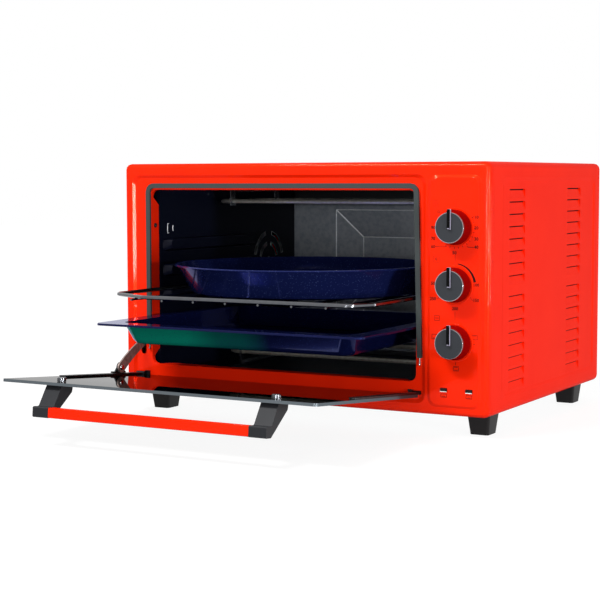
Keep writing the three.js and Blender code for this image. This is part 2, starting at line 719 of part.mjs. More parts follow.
// Top and both sides of the cabinet in one folded sheet, open below and turned in at the back.
function outerCover() {
  const front = FRONT_RIM_DEPTH + SEAT_GAP;
  const outline = [-halfWidth, 0, halfWidth, BODY_HEIGHT];
  const lipInset = REAR_EDGE_RADIUS + SHEET;
  const outside = loft("y", [
    ring(outline, LONG_EDGE_RADIUS, front),
    ...rolledRings(BODY_DEPTH, REAR_EDGE_RADIUS, -1, 0).reverse(),
  ]);
  const inside = loft("y", [
    ring(grow(outline, -SHEET), LONG_EDGE_RADIUS - SHEET, front - OVERRUN),
    ...rolledRings(BODY_DEPTH, REAR_EDGE_RADIUS, -1, SHEET).reverse().slice(0, -1),
    ring(grow(outline, -lipInset), LONG_EDGE_RADIUS - lipInset, BODY_DEPTH - SHEET),
    ring(grow(outline, -lipInset), LONG_EDGE_RADIUS - lipInset, BODY_DEPTH + OVERRUN),
  ]);
  const underside = halfWidth - COVER_FLANGE;
  const rearReach = halfWidth - lipInset;
  const belly = box(-underside, underside,
    front - OVERRUN, BODY_DEPTH + OVERRUN, -OVERRUN, lipInset);
  const rearBelly = box(-rearReach, rearReach,
    BODY_DEPTH - lipInset, BODY_DEPTH + OVERRUN, -OVERRUN, lipInset + OVERRUN);
  const shell = cut(outside, inside, belly, rearBelly);
  const rearColumn = BODY_DEPTH - LOUVRE_REAR_MARGIN - LOUVRE_LENGTH;
  const added = [];
  const removed = [];
  [-1, 1].forEach((side) => {
    const wall = side * halfWidth;
    const sunk = wall - side * SIDE_PRESS_DEPTH;
    const panel = pressing("x",
      [SIDE_PRESS_FRONT, SIDE_PRESS_END_MARGIN,
        BODY_DEPTH - SIDE_PRESS_REAR_MARGIN, BODY_HEIGHT - SIDE_PRESS_END_MARGIN],
      SIDE_PRESS_RADIUS, SIDE_PRESS_RAMP, wall, sunk, SHEET);
    added.push(panel.backing);
    removed.push(panel.hollow);
    [LOUVRE_FRONT_COLUMN, rearColumn].forEach((start) => {
      louvreSlits().forEach((slit) => {
        const { body, pocket } = louvre(sunk, -side, start, slit);
        added.push(body);
        removed.push(pocket);
      });
    });
  });
  return cut(join(shell, ...added), ...removed);
}

function basePlate() {
  const reach = halfWidth - LONG_EDGE_RADIUS;
  const low = SHEET + SEAT_GAP;
  const rear = BODY_DEPTH - REAR_EDGE_RADIUS;
  const plate = box(-reach, reach, BASE_FRONT, rear, low, low + SHEET);
  const beads = [-1, 1].map((side) => {
    const x = side * reach / 2;
    const span = reach / 3;
    return pressing("z", [x - span / 2, rear / 4, x + span / 2, rear * 3 / 4],
      FLOOR_BEAD_WIDTH / 2, FLOOR_BEAD_DEPTH, low, low + FLOOR_BEAD_DEPTH, SHEET);
  });
  return cut(join(plate, ...beads.map((b) => b.backing)), ...beads.map((b) => b.hollow));
}

function rearCover() {
  const inset = REAR_EDGE_RADIUS + SHEET + SEAT_GAP;
  const bottom = 2 * SHEET + 2 * SEAT_GAP;
  const outline = [inset - halfWidth, bottom, halfWidth - inset, BODY_HEIGHT - inset];
  const radius = LONG_EDGE_RADIUS - REAR_EDGE_RADIUS;
  const pan = cut(
    loft("y", [ring(outline, radius, BODY_DEPTH - REAR_FLANGE), ring(outline, radius, BODY_DEPTH)]),
    loft("y", [
      ring(grow(outline, -SHEET), radius, BODY_DEPTH - REAR_FLANGE - OVERRUN),
      ring(grow(outline, -SHEET), radius, BODY_DEPTH - SHEET),
    ]));
  const vents = [];
  for (let column = 0; column < REAR_VENT_COLUMNS; column += 1) {
    const x = (column - (REAR_VENT_COLUMNS - 1) / 2) * REAR_VENT_PITCH_X;
    for (let row = 0; row < REAR_VENT_ROWS; row += 1) {
      const z = BODY_HEIGHT - REAR_VENT_TOP_MARGIN - row * REAR_VENT_PITCH_Z;
      const slot = roundedRectangle(x - REAR_VENT_LENGTH / 2, z - REAR_VENT_HEIGHT / 2,
        x + REAR_VENT_LENGTH / 2, z + REAR_VENT_HEIGHT / 2, REAR_VENT_HEIGHT / 2);
      vents.push(extrude(slot, "y", BODY_DEPTH - REAR_FLANGE, BODY_DEPTH + OVERRUN, 2));
    }
  }
  const glandHole = cylinder("y", glandX, GLAND_Z, GLAND_NECK / 2 + SEAT_GAP,
    BODY_DEPTH - REAR_FLANGE, BODY_DEPTH + OVERRUN);
  return cut(pan, ...vents, glandHole);
}

// Bush that the supply lead would enter by, snapped into the rear cover with a head on both sides.
function cableGland() {
  const inner = BODY_DEPTH - SHEET - SEAT_GAP;
  const outer = BODY_DEPTH + SEAT_GAP;
  const bore = GLAND_BORE / 2;
  const profile = [
    [bore, inner - GLAND_TAIL], [GLAND_NECK / 2, inner - GLAND_TAIL],
    [(GLAND_NECK + SHEET) / 2 + SHEET, inner], [GLAND_NECK / 2, inner], [GLAND_NECK / 2, outer],
    [GLAND_HEAD / 2, outer], [GLAND_HEAD / 2, outer + GLAND_HEAD_LENGTH / 2],
    [GLAND_HEAD / 3, outer + GLAND_HEAD_LENGTH], [bore, outer + GLAND_HEAD_LENGTH],
    [bore, inner - GLAND_TAIL],
  ];
  return revolve(profile, "y", glandX, GLAND_Z, SMALL_COUNT);
}

function foot(x0, y0) {
  const top = -SEAT_GAP;
  const outline = [x0, y0, x0 + FOOT_WIDTH, y0 + FOOT_LENGTH];
  const block = loft("z", [
    ring(outline, FOOT_RADIUS, top),
    ring(grow(outline, -FOOT_TAPER), FOOT_RADIUS, -FOOT_HEIGHT),
  ]);
  return cut(block, cylinder("z", x0 + FOOT_WIDTH / 2, y0 + FOOT_LENGTH / 2, FOOT_SCREW_BORE / 2,
    -FOOT_HEIGHT - OVERRUN, FOOT_SCREW_DEPTH - FOOT_HEIGHT, SMALL_COUNT));
}

// Hollow shelf ledge pressed into a side wall, its upper face level so that a shelf slides on it.
function shelfRib(wall, inward, top) {
  const tip = wall + inward * RIB_DEPTH;
  const outline = (draft) => [
    RIB_FRONT + draft, top - RIB_HEIGHT + draft, cavityBackY - RIB_REAR_MARGIN - draft, top];
  const shrink = ([a0, b0, a1, b1]) => [a0 + LINER, b0 + LINER, a1 - LINER, b1 - LINER];
  const outside = loft("x", [
    ring(outline(0), RIB_RADIUS, wall - inward * LINER / 2, 2),
    ring(outline(RIB_DRAFT), RIB_RADIUS, tip, 2),
  ]);
  const inside = loft("x", [
    ring(shrink(outline(0)), RIB_RADIUS - LINER, wall - inward * (LINER + OVERRUN), 2),
    ring(shrink(outline(RIB_DRAFT)), RIB_RADIUS - LINER, tip - inward * LINER, 2),
  ]);
  return { outside, inside };
}

// Side wall of the cavity with its ledges and a lip that is turned out behind the front flange.
function cavitySide(wall, inward, cuts) {
  const low = Math.min(wall, wall - inward * LINER);
  const bottom = CAVITY_FLOOR - LINER;
  const top = cavityTop + LINER;
  const plate = box(low, low + LINER, cavityFront, cavityBackY, bottom, top);
  const edge = inward > 0 ? wall : openingRight + SEAT_GAP;
  const lipEnd = wall - inward * CAVITY_LIP;
  const lip = box(Math.min(edge, lipEnd), Math.max(edge, lipEnd),
    cavityFront, cavityFront + LINER, bottom, top);
  const ribs = ribTops.map((z) => shelfRib(wall, inward, z));
  return cut(join(plate, lip, ...ribs.map((r) => r.outside)), ...ribs.map((r) => r.inside), ...cuts);
}

// Slots of the fan grille: rings of arcs with bridges between them, and a hole in the middle.
function fanGrille() {
  const from = cavityLeft - LINER - OVERRUN;
  const to = cavityLeft + OVERRUN;
  const bridge = THREE.MathUtils.degToRad(GRILLE_BRIDGE_DEGREES);
  const arcs = GRILLE_RING_RADII.flatMap((radius) => [0, 1, 2, 3].map((i) => {
    const start = i * Math.PI / 2 + bridge / 2;
    const end = (i + 1) * Math.PI / 2 - bridge / 2;
    const shape = new THREE.Shape();
    shape.absarc(fanY, FAN_Z, radius + GRILLE_SLOT_WIDTH / 2, start, end, false);
    shape.absarc(fanY, FAN_Z, radius - GRILLE_SLOT_WIDTH / 2, end, start, true);
    return extrude(shape, "x", from, to, CORNER_COUNT + 1);
  }));
  return [...arcs, cylinder("x", fanY, FAN_Z, GRILLE_CENTRE_RADIUS, from, to, SMALL_COUNT)];
}

// Height, front run, rear run and left end of the two heating rods.
const upperRod = [cavityTop - UPPER_ROD_DROP, UPPER_ROD_FRONT, cavityBackY - UPPER_ROD_BACK_GAP,
  cavityLeft + UPPER_ROD_SIDE_GAP];
const lowerRod = [LOWER_ROD_Z, LOWER_ROD_FRONT, cavityBackY - LOWER_ROD_BACK_GAP,
  cavityLeft + LOWER_ROD_SIDE_GAP];

function rodHoles() {
  const radius = ROD_RADIUS + ROD_CLEARANCE;
  return [upperRod, lowerRod].flatMap(([z, front, rear]) => [front, rear].map((y) =>
    cylinder("x", y, z, radius, cavityRight - OVERRUN, cavityRight + LINER + OVERRUN, SMALL_COUNT)));
}

function cavityCeiling() {
  const x0 = cavityLeft + SEAT_GAP;
  const x1 = cavityRight - SEAT_GAP;
  return join(
    box(x0, openingRight, cavityFront, cavityBackY, cavityTop, cavityTop + LINER),
    box(x0, x1, cavityFront + 2 * LINER, cavityBackY, cavityTop, cavityTop + LINER),
    box(x0, openingRight, cavityFront, cavityFront + LINER, cavityTop, cavityTop + CAVITY_LIP));
}

// Floor pan with a raised front edge and a shallow drip channel pressed along each side.
function cavityFloor() {
  const x0 = cavityLeft + SEAT_GAP;
  const x1 = cavityRight - SEAT_GAP;
  const plate = join(
    box(x0, openingRight, cavityFront, cavityBackY, CAVITY_FLOOR - LINER, CAVITY_FLOOR),
    box(x0, x1, cavityFront + 2 * LINER, cavityBackY, CAVITY_FLOOR - LINER, CAVITY_FLOOR),
    box(x0, openingRight, cavityFront, cavityFront + LINER, CAVITY_FLOOR - LINER, OPENING_BOTTOM));
  const middle = pressing("z",
    [x0 + FLOOR_BEAD_INSET, cavityFront + FLOOR_BEAD_INSET,
      x1 - FLOOR_BEAD_INSET, cavityBackY - FLOOR_BEAD_INSET],
    FLOOR_BEAD_WIDTH, FLOOR_BEAD_WIDTH / 2, CAVITY_FLOOR, CAVITY_FLOOR - FLOOR_BEAD_DEPTH, LINER);
  return cut(join(plate, middle.backing), middle.hollow);
}

// Back wall with a shallow four-sided pyramid stump stamped into it.
function cavityBack() {
  const plate = box(cavityLeft - LINER, cavityRight + LINER, cavityBackY + SEAT_GAP,
    cavityBackY + SEAT_GAP + LINER, CAVITY_FLOOR - LINER, cavityTop + LINER);
  const outline = [
    cavityLeft + BACK_PRESS_SIDE_MARGIN, CAVITY_FLOOR + BACK_PRESS_LOW_MARGIN,
    cavityRight - BACK_PRESS_SIDE_MARGIN, cavityTop - BACK_PRESS_HIGH_MARGIN];
  const face = cavityBackY + SEAT_GAP;
  const stump = pressing("y", outline, LINER, BACK_PRESS_SLOPE, face, face + BACK_PRESS_DEPTH, LINER);
  return cut(join(plate, stump.backing), stump.hollow);
}

// Points offset to one side of a path in the front plane, for the two edges of a flat band.
function offsetPath(points, distance) {
  return points.map((point, i) => {
    const before = points[Math.max(i - 1, 0)];
    const after = points[Math.min(i + 1, points.length - 1)];
    const along = after.clone().sub(before).normalize();
    return [point.x - along.z * distance, point.z + along.x * distance];
  });
}

// Middle line of the door seal: up the left, across the top, and down a right side that leans out.
function gasketLine() {
  const half = GASKET_WIDTH / 2;
  const left = openingLeft - GASKET_LEFT_MARGIN + half;
  const right = openingRight + GASKET_RIGHT_MARGIN - half;
  const top = openingTop + GASKET_TOP_MARGIN - half;
  return rounded([
    [left, 0, GASKET_BOTTOM], [left, 0, top], [right, 0, top], [right + GASKET_LEAN, 0, GASKET_BOTTOM],
  ], GASKET_RADIUS);
}

function doorGasket() {
  const line = gasketLine();
  const band = [
    ...offsetPath(line, GASKET_WIDTH / 2), ...offsetPath(line, -GASKET_WIDTH / 2).reverse()];
  const back = recessFloor - SEAT_GAP;
  return extrude(polygon(band), "y", back - GASKET_THICKNESS, back);
}

// Wire hook that holds one end of the seal, with a bead where it enters the frame.
function gasketHook(end) {
  const middle = recessFloor - SEAT_GAP - HOOK_WIRE / 2;
  const top = GASKET_BOTTOM - SEAT_GAP;
  const stem = cylinder("z", end.x, middle, HOOK_WIRE / 2, top - HOOK_LENGTH, top, SWEEP_SIDES);
  const bead = new THREE.SphereGeometry(HOOK_BEAD_RADIUS, SWEEP_SIDES, SWEEP_SIDES / 2);
  bead.translate(end.x, recessFloor - SEAT_GAP - HOOK_BEAD_RADIUS, top - HOOK_LENGTH);
  return join(stem, toSolid(bead));
}

// Heating rod bent to a U, with both ends through the right wall and a pin terminal on each.
function heatingRod(z, front, rear, left) {
  const end = cavityRight + ROD_TAIL;
  const line = rounded([[end, front, z], [left, front, z], [left, rear, z], [end, rear, z]], ROD_BEND);
  const pins = [front, rear].map((y) =>
    cylinder("x", y, z, TERMINAL_RADIUS, end - TERMINAL_LENGTH / 2, end + TERMINAL_LENGTH, SWEEP_SIDES));
  return join(wire(line, ROD_RADIUS), ...pins);
}

// Sheet strap that carries both runs of a rod near its bend, welded to the ceiling or the floor.
function rodClip(z, front, rear, left, wall) {
  const side = Math.sign(wall - z);
  const x = left + CLIP_INSET;
  const eye = ROD_RADIUS + ROD_CLEARANCE;
  const tip = z - side * (eye + CLIP_EYE_MARGIN);
  const seat = wall - side * SEAT_GAP;
  const plate = box(x, x + CLIP_THICKNESS, front - eye - CLIP_EYE_MARGIN, rear + eye + CLIP_EYE_MARGIN,
    Math.min(tip, seat), Math.max(tip, seat));
  const footPlate = box(x, x + CLIP_FOOT, front - eye - CLIP_EYE_MARGIN, rear + eye + CLIP_EYE_MARGIN,
    Math.min(seat, seat - side * CLIP_THICKNESS), Math.max(seat, seat - side * CLIP_THICKNESS));
  const gapTop = seat - side * 2 * CLIP_EYE_MARGIN;
  const gap = box(x - OVERRUN, x + CLIP_THICKNESS + OVERRUN,
    front + eye + CLIP_EYE_MARGIN, rear - eye - CLIP_EYE_MARGIN,
    Math.min(tip - side * OVERRUN, gapTop), Math.max(tip - side * OVERRUN, gapTop));
  const eyes = [front, rear].map((y) =>
    cylinder("x", y, z, eye, x - OVERRUN, x + CLIP_FOOT + OVERRUN, SMALL_COUNT));
  return cut(join(plate, footPlate), gap, ...eyes);
}

const fanFace = cavityLeft - LINER - FAN_WALL_GAP; // x of the fan's side that faces the cavity
const motorFace = fanFace - FAN_HUB_LENGTH - MOTOR_FAN_GAP;

function fanWheel() {
  const hub = cylinder("x", fanY, FAN_Z, FAN_HUB_RADIUS, fanFace - FAN_HUB_LENGTH, fanFace, SMALL_COUNT);
  const disc = cylinder("x", fanY, FAN_Z, FAN_RADIUS,
    fanFace - FAN_HUB_LENGTH, fanFace - FAN_HUB_LENGTH + FAN_BLADE_SHEET, ROUND_COUNT);
  const blades = Array.from({ length: FAN_BLADE_COUNT }, (_, i) => {
    const blade = new THREE.BoxGeometry(FAN_BLADE_WIDTH, FAN_BLADE_SHEET, FAN_RADIUS - FAN_HUB_RADIUS / 2);
    blade.translate(fanFace - FAN_HUB_LENGTH + FAN_BLADE_WIDTH / 2, 0,
      (FAN_RADIUS + FAN_HUB_RADIUS / 2) / 2);
    blade.rotateX(2 * Math.PI * i / FAN_BLADE_COUNT).translate(0, fanY, FAN_Z);
    return toSolid(blade);
  });
  const shaft = cylinder("x", fanY, FAN_Z, FAN_SHAFT_RADIUS,
    motorFace - MOTOR_LENGTH / 2, fanFace - FAN_HUB_LENGTH / 2, SMALL_COUNT);
  return join(hub, disc, ...blades, shaft);
}

// Fan motor on a four-legged carrier whose feet seat on the cavity's left wall.
function convectionMotor() {
  const can = cylinder("x", fanY, FAN_Z, MOTOR_RADIUS, motorFace - MOTOR_LENGTH, motorFace);
  const seat = cavityLeft - LINER - SEAT_GAP;
  const plateBack = motorFace - MOTOR_PLATE;
  const legs = [0, 1, 2, 3].flatMap((i) => {
    const spoke = new THREE.BoxGeometry(MOTOR_PLATE, MOTOR_LEG_WIDTH, MOTOR_LEG_REACH);
    spoke.translate(motorFace - MOTOR_PLATE / 2, 0, MOTOR_LEG_REACH / 2);
    const leg = new THREE.BoxGeometry(seat - plateBack, MOTOR_LEG_WIDTH, MOTOR_PLATE);
    leg.translate((seat + plateBack) / 2, 0, MOTOR_LEG_REACH - MOTOR_PLATE / 2);
    return [spoke, leg].map((piece) => toSolid(
      piece.rotateX((i + 1 / 2) * Math.PI / 2).translate(0, fanY, FAN_Z)));
  });
  const bore = cylinder("x", fanY, FAN_Z, FAN_SHAFT_RADIUS + FAN_SHAFT_CLEARANCE,
    motorFace - MOTOR_LENGTH / 2 - SEAT_GAP, motorFace + OVERRUN);
  return cut(join(can, ...legs), bore);
}

const chassisLow = knobHeights[2] - CHASSIS_END_MARGIN;
const chassisHigh = knobHeights[0] + CHASSIS_END_MARGIN;

// Channel behind the control panel that carries the three units.
function controlChassis() {
  const x0 = knobX - CHASSIS_WIDTH / 2;
  const x1 = knobX + CHASSIS_WIDTH / 2;
  const front = panelPlane + SHEET + SEAT_GAP;
  const plate = box(x0, x1, CHASSIS_Y, CHASSIS_Y + SHEET, chassisLow, chassisHigh);
  const ends = [chassisLow, chassisHigh - SHEET].map((z) =>
    box(x0, x1, front, CHASSIS_Y + SHEET, z, z + SHEET));
  const sides = [x0, x1 - SHEET].map((x) =>
    box(x, x + SHEET, CHASSIS_Y, CHASSIS_Y + CHASSIS_FLANGE, chassisLow, chassisHigh));
  const holes = knobHeights.map((z) =>
    cylinder("y", knobX, z, NECK_RADIUS + SEAT_GAP, CHASSIS_Y - OVERRUN, UNIT_Y + OVERRUN, SMALL_COUNT));
  return cut(join(plate, ...ends, ...sides), ...holes);
}

// Spade terminals on the back of a unit, in a row.
function spadeTabs(x, y, z, count, pitch) {
  return Array.from({ length: count }, (_, i) => {
    const middle = x + (i - (count - 1) / 2) * pitch;
    return box(middle - UNIT_TAB_SHEET / 2, middle + UNIT_TAB_SHEET / 2, y - UNIT_TAB_SHEET,
      y + UNIT_TAB_LENGTH, z - UNIT_TAB_WIDTH / 2, z + UNIT_TAB_WIDTH / 2);
  });
}

// A control unit: its body, the threaded neck through the chassis, tabs, and the shaft's bore.
function controlUnit(z, body, depth, tabCount) {
  const back = UNIT_Y + depth;
  const neck = cylinder("y", knobX, z, NECK_RADIUS, CHASSIS_Y - SHEET, UNIT_Y + SHEET, SMALL_COUNT);
  const bore = cylinder("y", knobX, z, SHAFT_RADIUS + SHAFT_CLEARANCE,
    CHASSIS_Y - OVERRUN - SHEET, UNIT_Y + depth / 2 + SEAT_GAP, SMALL_COUNT);
  const tabs = spadeTabs(knobX, back, z, tabCount, UNIT_TAB_LENGTH);
  return cut(join(body, neck, ...tabs), bore);
}

function timerUnit(z) {
  const half = TIMER_WIDTH / 2;
  const body = extrude(roundedRectangle(knobX - half, z - half, knobX + half, z + half, UNIT_RADIUS),
    "y", UNIT_Y, UNIT_Y + TIMER_DEPTH, 2);
  return controlUnit(z, body, TIMER_DEPTH, 2);
}

function thermostatUnit(z) {
  const body = revolve([
    [0, UNIT_Y], [THERMOSTAT_RADIUS, UNIT_Y], [THERMOSTAT_RADIUS, UNIT_Y + THERMOSTAT_DEPTH / 2],
    [THERMOSTAT_RADIUS - UNIT_RADIUS, UNIT_Y + THERMOSTAT_DEPTH], [0, UNIT_Y + THERMOSTAT_DEPTH],
  ], "y", knobX, z);
  return controlUnit(z, body, THERMOSTAT_DEPTH, 2);
}

function switchUnit(z) {
  const half = SWITCH_WIDTH / 2;
  const body = extrude(roundedRectangle(knobX - half, z - half, knobX + half, z + half, UNIT_RADIUS),
    "y", UNIT_Y, UNIT_Y + SWITCH_DEPTH, 2);
  return controlUnit(z, body, SWITCH_DEPTH, 4);
}

const knobBack = panelPlane - KNOB_PANEL_GAP;
const knobFront = knobBack - KNOB_LENGTH;

// Control shaft with the flat that carries the knob round.
function controlShaft(z, depth) {
  const tip = knobBack - KNOB_BORE_DEPTH + SEAT_GAP;
  const shaft = cylinder("y", knobX, z, SHAFT_RADIUS, tip, UNIT_Y + depth / 2, SMALL_COUNT);
  const flat = box(knobX - SHAFT_RADIUS, knobX + SHAFT_RADIUS, tip - OVERRUN, knobBack,
    z - SHAFT_RADIUS - OVERRUN, z - SHAFT_RADIUS + SHAFT_FLAT);
  return cut(shaft, flat);
}

function knobBody(z) {
  const body = revolve([
    [0, knobBack], [KNOB_BASE_RADIUS - CAP_BEVEL, knobBack], [KNOB_BASE_RADIUS, knobBack - CAP_BEVEL],
    [KNOB_BASE_RADIUS, knobBack - KNOB_FLARE], [KNOB_RADIUS, knobBack - 2 * KNOB_FLARE],
    [CAP_RADIUS, knobFront], [0, knobFront],
  ], "y", knobX, z, KNOB_COUNT);
  return cut(body, cylinder("y", knobX, z, SHAFT_RADIUS + SHAFT_CLEARANCE,
    knobBack - KNOB_BORE_DEPTH, knobBack + OVERRUN, SMALL_COUNT));
}

// Dark face of a knob with the raised pointer that reaches past its upper edge.
function knobCap(z) {
  const back = knobFront - SEAT_GAP;
  const face = back - CAP_LENGTH;
  const disc = revolve([
    [0, back], [CAP_RADIUS, back], [CAP_RADIUS, face + CAP_BEVEL], [CAP_RADIUS - CAP_BEVEL, face],
    [0, face],
  ], "y", knobX, z, KNOB_COUNT);
  const pointer = extrude(
    roundedRectangle(knobX - POINTER_WIDTH / 2, z - POINTER_WIDTH / 2,
      knobX + POINTER_WIDTH / 2, z + POINTER_REACH, CAP_BEVEL),
    "y", face - POINTER_HEIGHT, face + CAP_LENGTH / 2, 2);
  return join(disc, pointer);
}

// Neon lamp in a square bezel, with a collar behind the panel.
function pilotLamp(x) {
  const halfX = LAMP_WIDTH / 2;
  const halfZ = LAMP_HEIGHT / 2;
  const lens = extrude(
    roundedRectangle(x - halfX, LAMP_Z - halfZ, x + halfX, LAMP_Z + halfZ, LAMP_COLLAR / 2),
    "y", panelPlane - LAMP_PROUD, panelPlane + LAMP_LENGTH, 2);
  const seat = panelPlane + SHEET + SEAT_GAP;
  const collar = box(x - halfX - LAMP_COLLAR, x + halfX + LAMP_COLLAR, seat, seat + LAMP_COLLAR,
    LAMP_Z - halfZ - LAMP_COLLAR, LAMP_Z + halfZ + LAMP_COLLAR);
  return join(lens, collar);
}

// Mains terminal block on the base plate, with one round pole for each conductor.
function terminalBlock() {
  const seat = 2 * SHEET + 2 * SEAT_GAP;
  const x0 = glandX - TERMINAL_BLOCK_LENGTH / 2;
  const y0 = BODY_DEPTH - TERMINAL_BLOCK_MARGIN;
  const block = box(x0, x0 + TERMINAL_BLOCK_LENGTH, y0, y0 + TERMINAL_BLOCK_WIDTH,
    seat, seat + TERMINAL_BLOCK_HEIGHT);
  const pitch = TERMINAL_BLOCK_LENGTH / TERMINAL_POLE_COUNT;
  const poles = Array.from({ length: TERMINAL_POLE_COUNT }, (_, i) =>
    cylinder("z", x0 + (i + 1 / 2) * pitch, y0 + TERMINAL_BLOCK_WIDTH / 2,
      TERMINAL_POLE_RADIUS, seat + TERMINAL_BLOCK_HEIGHT / 2, seat + TERMINAL_BLOCK_HEIGHT + OVERRUN,
      SWEEP_SIDES));
  return cut(block, ...poles);
}

const leftBar = glassLeft + LEFT_BAR_INSET;
const rightBar = glassRight - BAR_WIDTH;

// Bar along the glass's side edge, rolled into the hinge knuckle at its lower end.
function hingeBar(x0) {
  const x1 = x0 + BAR_WIDTH;
  const length = join(
    box(x0, x1, barBack, BAR_FACE, KNUCKLE_RADIUS / 2, BAR_LENGTH / 2),
    extrude(roundedRectangle(x0, KNUCKLE_RADIUS + BAR_TIP, x1, BAR_LENGTH, BAR_TIP),
      "y", barBack, BAR_FACE));
  const knuckle = cylinder("x", 0, 0, KNUCKLE_RADIUS, x0, x1);
  const bore = cylinder("x", 0, 0, HINGE_PIN_RADIUS + HINGE_CLEARANCE, x0 - OVERRUN, x1 + OVERRUN,
    SMALL_COUNT);
  return cut(join(length, knuckle), bore);
}

// Lug on the front frame whose pin passes the knuckle, towards +x or -x.
function hingeLug(x, side) {
  const ear = x + side * LUG_THICKNESS;
  const seat = recessFloor - SEAT_GAP;
  const round = cylinder("x", HINGE_Y, HINGE_Z, KNUCKLE_RADIUS, Math.min(x, ear), Math.max(x, ear));
  const web = box(Math.min(x, ear), Math.max(x, ear), HINGE_Y, seat,
    HINGE_Z - KNUCKLE_RADIUS, HINGE_Z + KNUCKLE_RADIUS);
  const footEnd = x - side * (LUG_FOOT_WIDTH - LUG_THICKNESS);
  const footPlate = box(Math.min(ear, footEnd), Math.max(ear, footEnd), seat - LUG_THICKNESS, seat,
    HINGE_Z - LUG_FOOT_HEIGHT / 2, HINGE_Z + LUG_FOOT_HEIGHT / 2);
  const pinEnd = x + side * (LUG_THICKNESS + BAR_WIDTH);
  const pin = cylinder("x", HINGE_Y, HINGE_Z, HINGE_PIN_RADIUS,
    Math.min(x, pinEnd), Math.max(x, pinEnd), SMALL_COUNT);
  return join(round, web, footPlate, pin);
}

function doorGlass() {
  const pane = extrude(roundedRectangle(glassLeft, GLASS_BOTTOM, glassRight, glassTop, GLASS_RADIUS),
    "y", glassOuter, glassInner);
  const holes = bracketPlaces.map((x) =>
    cylinder("y", x, bushU, GLASS_HOLE_RADIUS, glassOuter - OVERRUN, glassInner + OVERRUN));
  return cut(pane, ...holes);
}

// Handle bracket in side view: a neck on the glass, a slanting stem, and the cap that ends the bar.
function handleBracket(x) {
  const face = glassOuter - SEAT_GAP;
  const side = polygon([
    [face, STEM_NEAR], [face, STEM_FAR], [face - NECK_HEIGHT, STEM_SHOULDER],
    [face - BAR_RISE + HANDLE_CHAMFER, BAR_NEAR], [face - BAR_RISE, BAR_NEAR + HANDLE_CHAMFER],
    [face - BAR_RISE, BAR_FAR - HANDLE_CHAMFER], [face - BAR_RISE - HANDLE_CHAMFER, BAR_FAR],
    [face - BAR_DROP + HANDLE_CHAMFER, BAR_FAR], [face - BAR_DROP, BAR_FAR - HANDLE_CHAMFER],
    [face - BAR_DROP, BAR_NEAR + HANDLE_CHAMFER], [face - NECK_HEIGHT, STEM_NEAR + HANDLE_CHAMFER],
  ].map(([w, past]) => [w, glassTop + past]));
  const solid = extrude(side, "x", x - BRACKET_WIDTH / 2, x + BRACKET_WIDTH / 2);
  return cut(solid, cylinder("y", x, bushU, BUSH_STUD_RADIUS + SEAT_GAP,
    face - BUSH_STUD_REACH, face + OVERRUN, SMALL_COUNT));
}

function handleBar() {
  const face = glassOuter - SEAT_GAP;
  const [left, right] = bracketPlaces;
  const inset = SEAT_GAP;
  const section = roundedRectangle(face - BAR_DROP + inset, glassTop + BAR_NEAR + inset,
    face - BAR_RISE - inset, glassTop + BAR_FAR - inset, HANDLE_CHAMFER);
  return extrude(section, "x", left + BRACKET_WIDTH / 2 + SEAT_GAP, right - BRACKET_WIDTH / 2 - SEAT_GAP);
}

// Bright bush on the inner face of the glass; its stud passes the glass into the bracket.
function handleBush(x) {
  const face = glassInner + SEAT_GAP;
  const tip = glassOuter - BUSH_STUD_REACH + SEAT_GAP;
  const top = face + BUSH_HEIGHT;
  return revolve([
    [0, tip], [BUSH_STUD_RADIUS, tip], [BUSH_STUD_RADIUS, face], [BUSH_RADIUS, face],
    [BUSH_RADIUS, top - BUSH_CHAMFER], [BUSH_RADIUS - BUSH_CHAMFER, top], [0, top],
  ], "y", x, bushU, BUSH_COUNT);
}

const earLeft = slotLeft + SEAT_GAP * 2;
const armLeft = earLeft + EAR_THICKNESS + SEAT_GAP;

// Black ear that stands on the left hinge bar and carries the arm's rivet.
function armEar() {
  const base = BAR_FACE + SEAT_GAP;
  const web = polygon([
    [base, ARM_PIN_U - EAR_LENGTH / 2], [base, ARM_PIN_U + EAR_LENGTH / 2],
    [ARM_PIN_W, ARM_PIN_U + EAR_RADIUS], [ARM_PIN_W, ARM_PIN_U - EAR_RADIUS],
  ]);
  const ear = join(
    extrude(web, "x", earLeft, earLeft + EAR_THICKNESS),
    cylinder("x", ARM_PIN_W, ARM_PIN_U, EAR_RADIUS, earLeft, earLeft + EAR_THICKNESS),
    box(leftBar, earLeft + EAR_THICKNESS, base, base + EAR_FOOT,
      ARM_PIN_U - EAR_LENGTH / 2, ARM_PIN_U + EAR_LENGTH / 2));
  return cut(ear, cylinder("x", ARM_PIN_W, ARM_PIN_U, ARM_PIN_RADIUS + SEAT_GAP,
    earLeft - OVERRUN, earLeft + EAR_THICKNESS + OVERRUN, SMALL_COUNT));
}

function armRivet() {
  const from = earLeft - SEAT_GAP;
  const to = armLeft + ARM_THICKNESS + SEAT_GAP;
  return revolve([
    [0, from], [ARM_PIN_RADIUS, from], [ARM_PIN_RADIUS, to], [ARM_HEAD_RADIUS, to],
    [ARM_HEAD_RADIUS - ARM_HEAD_LENGTH / 2, to + ARM_HEAD_LENGTH], [0, to + ARM_HEAD_LENGTH],
  ], "x", ARM_PIN_W, ARM_PIN_U, SMALL_COUNT);
}

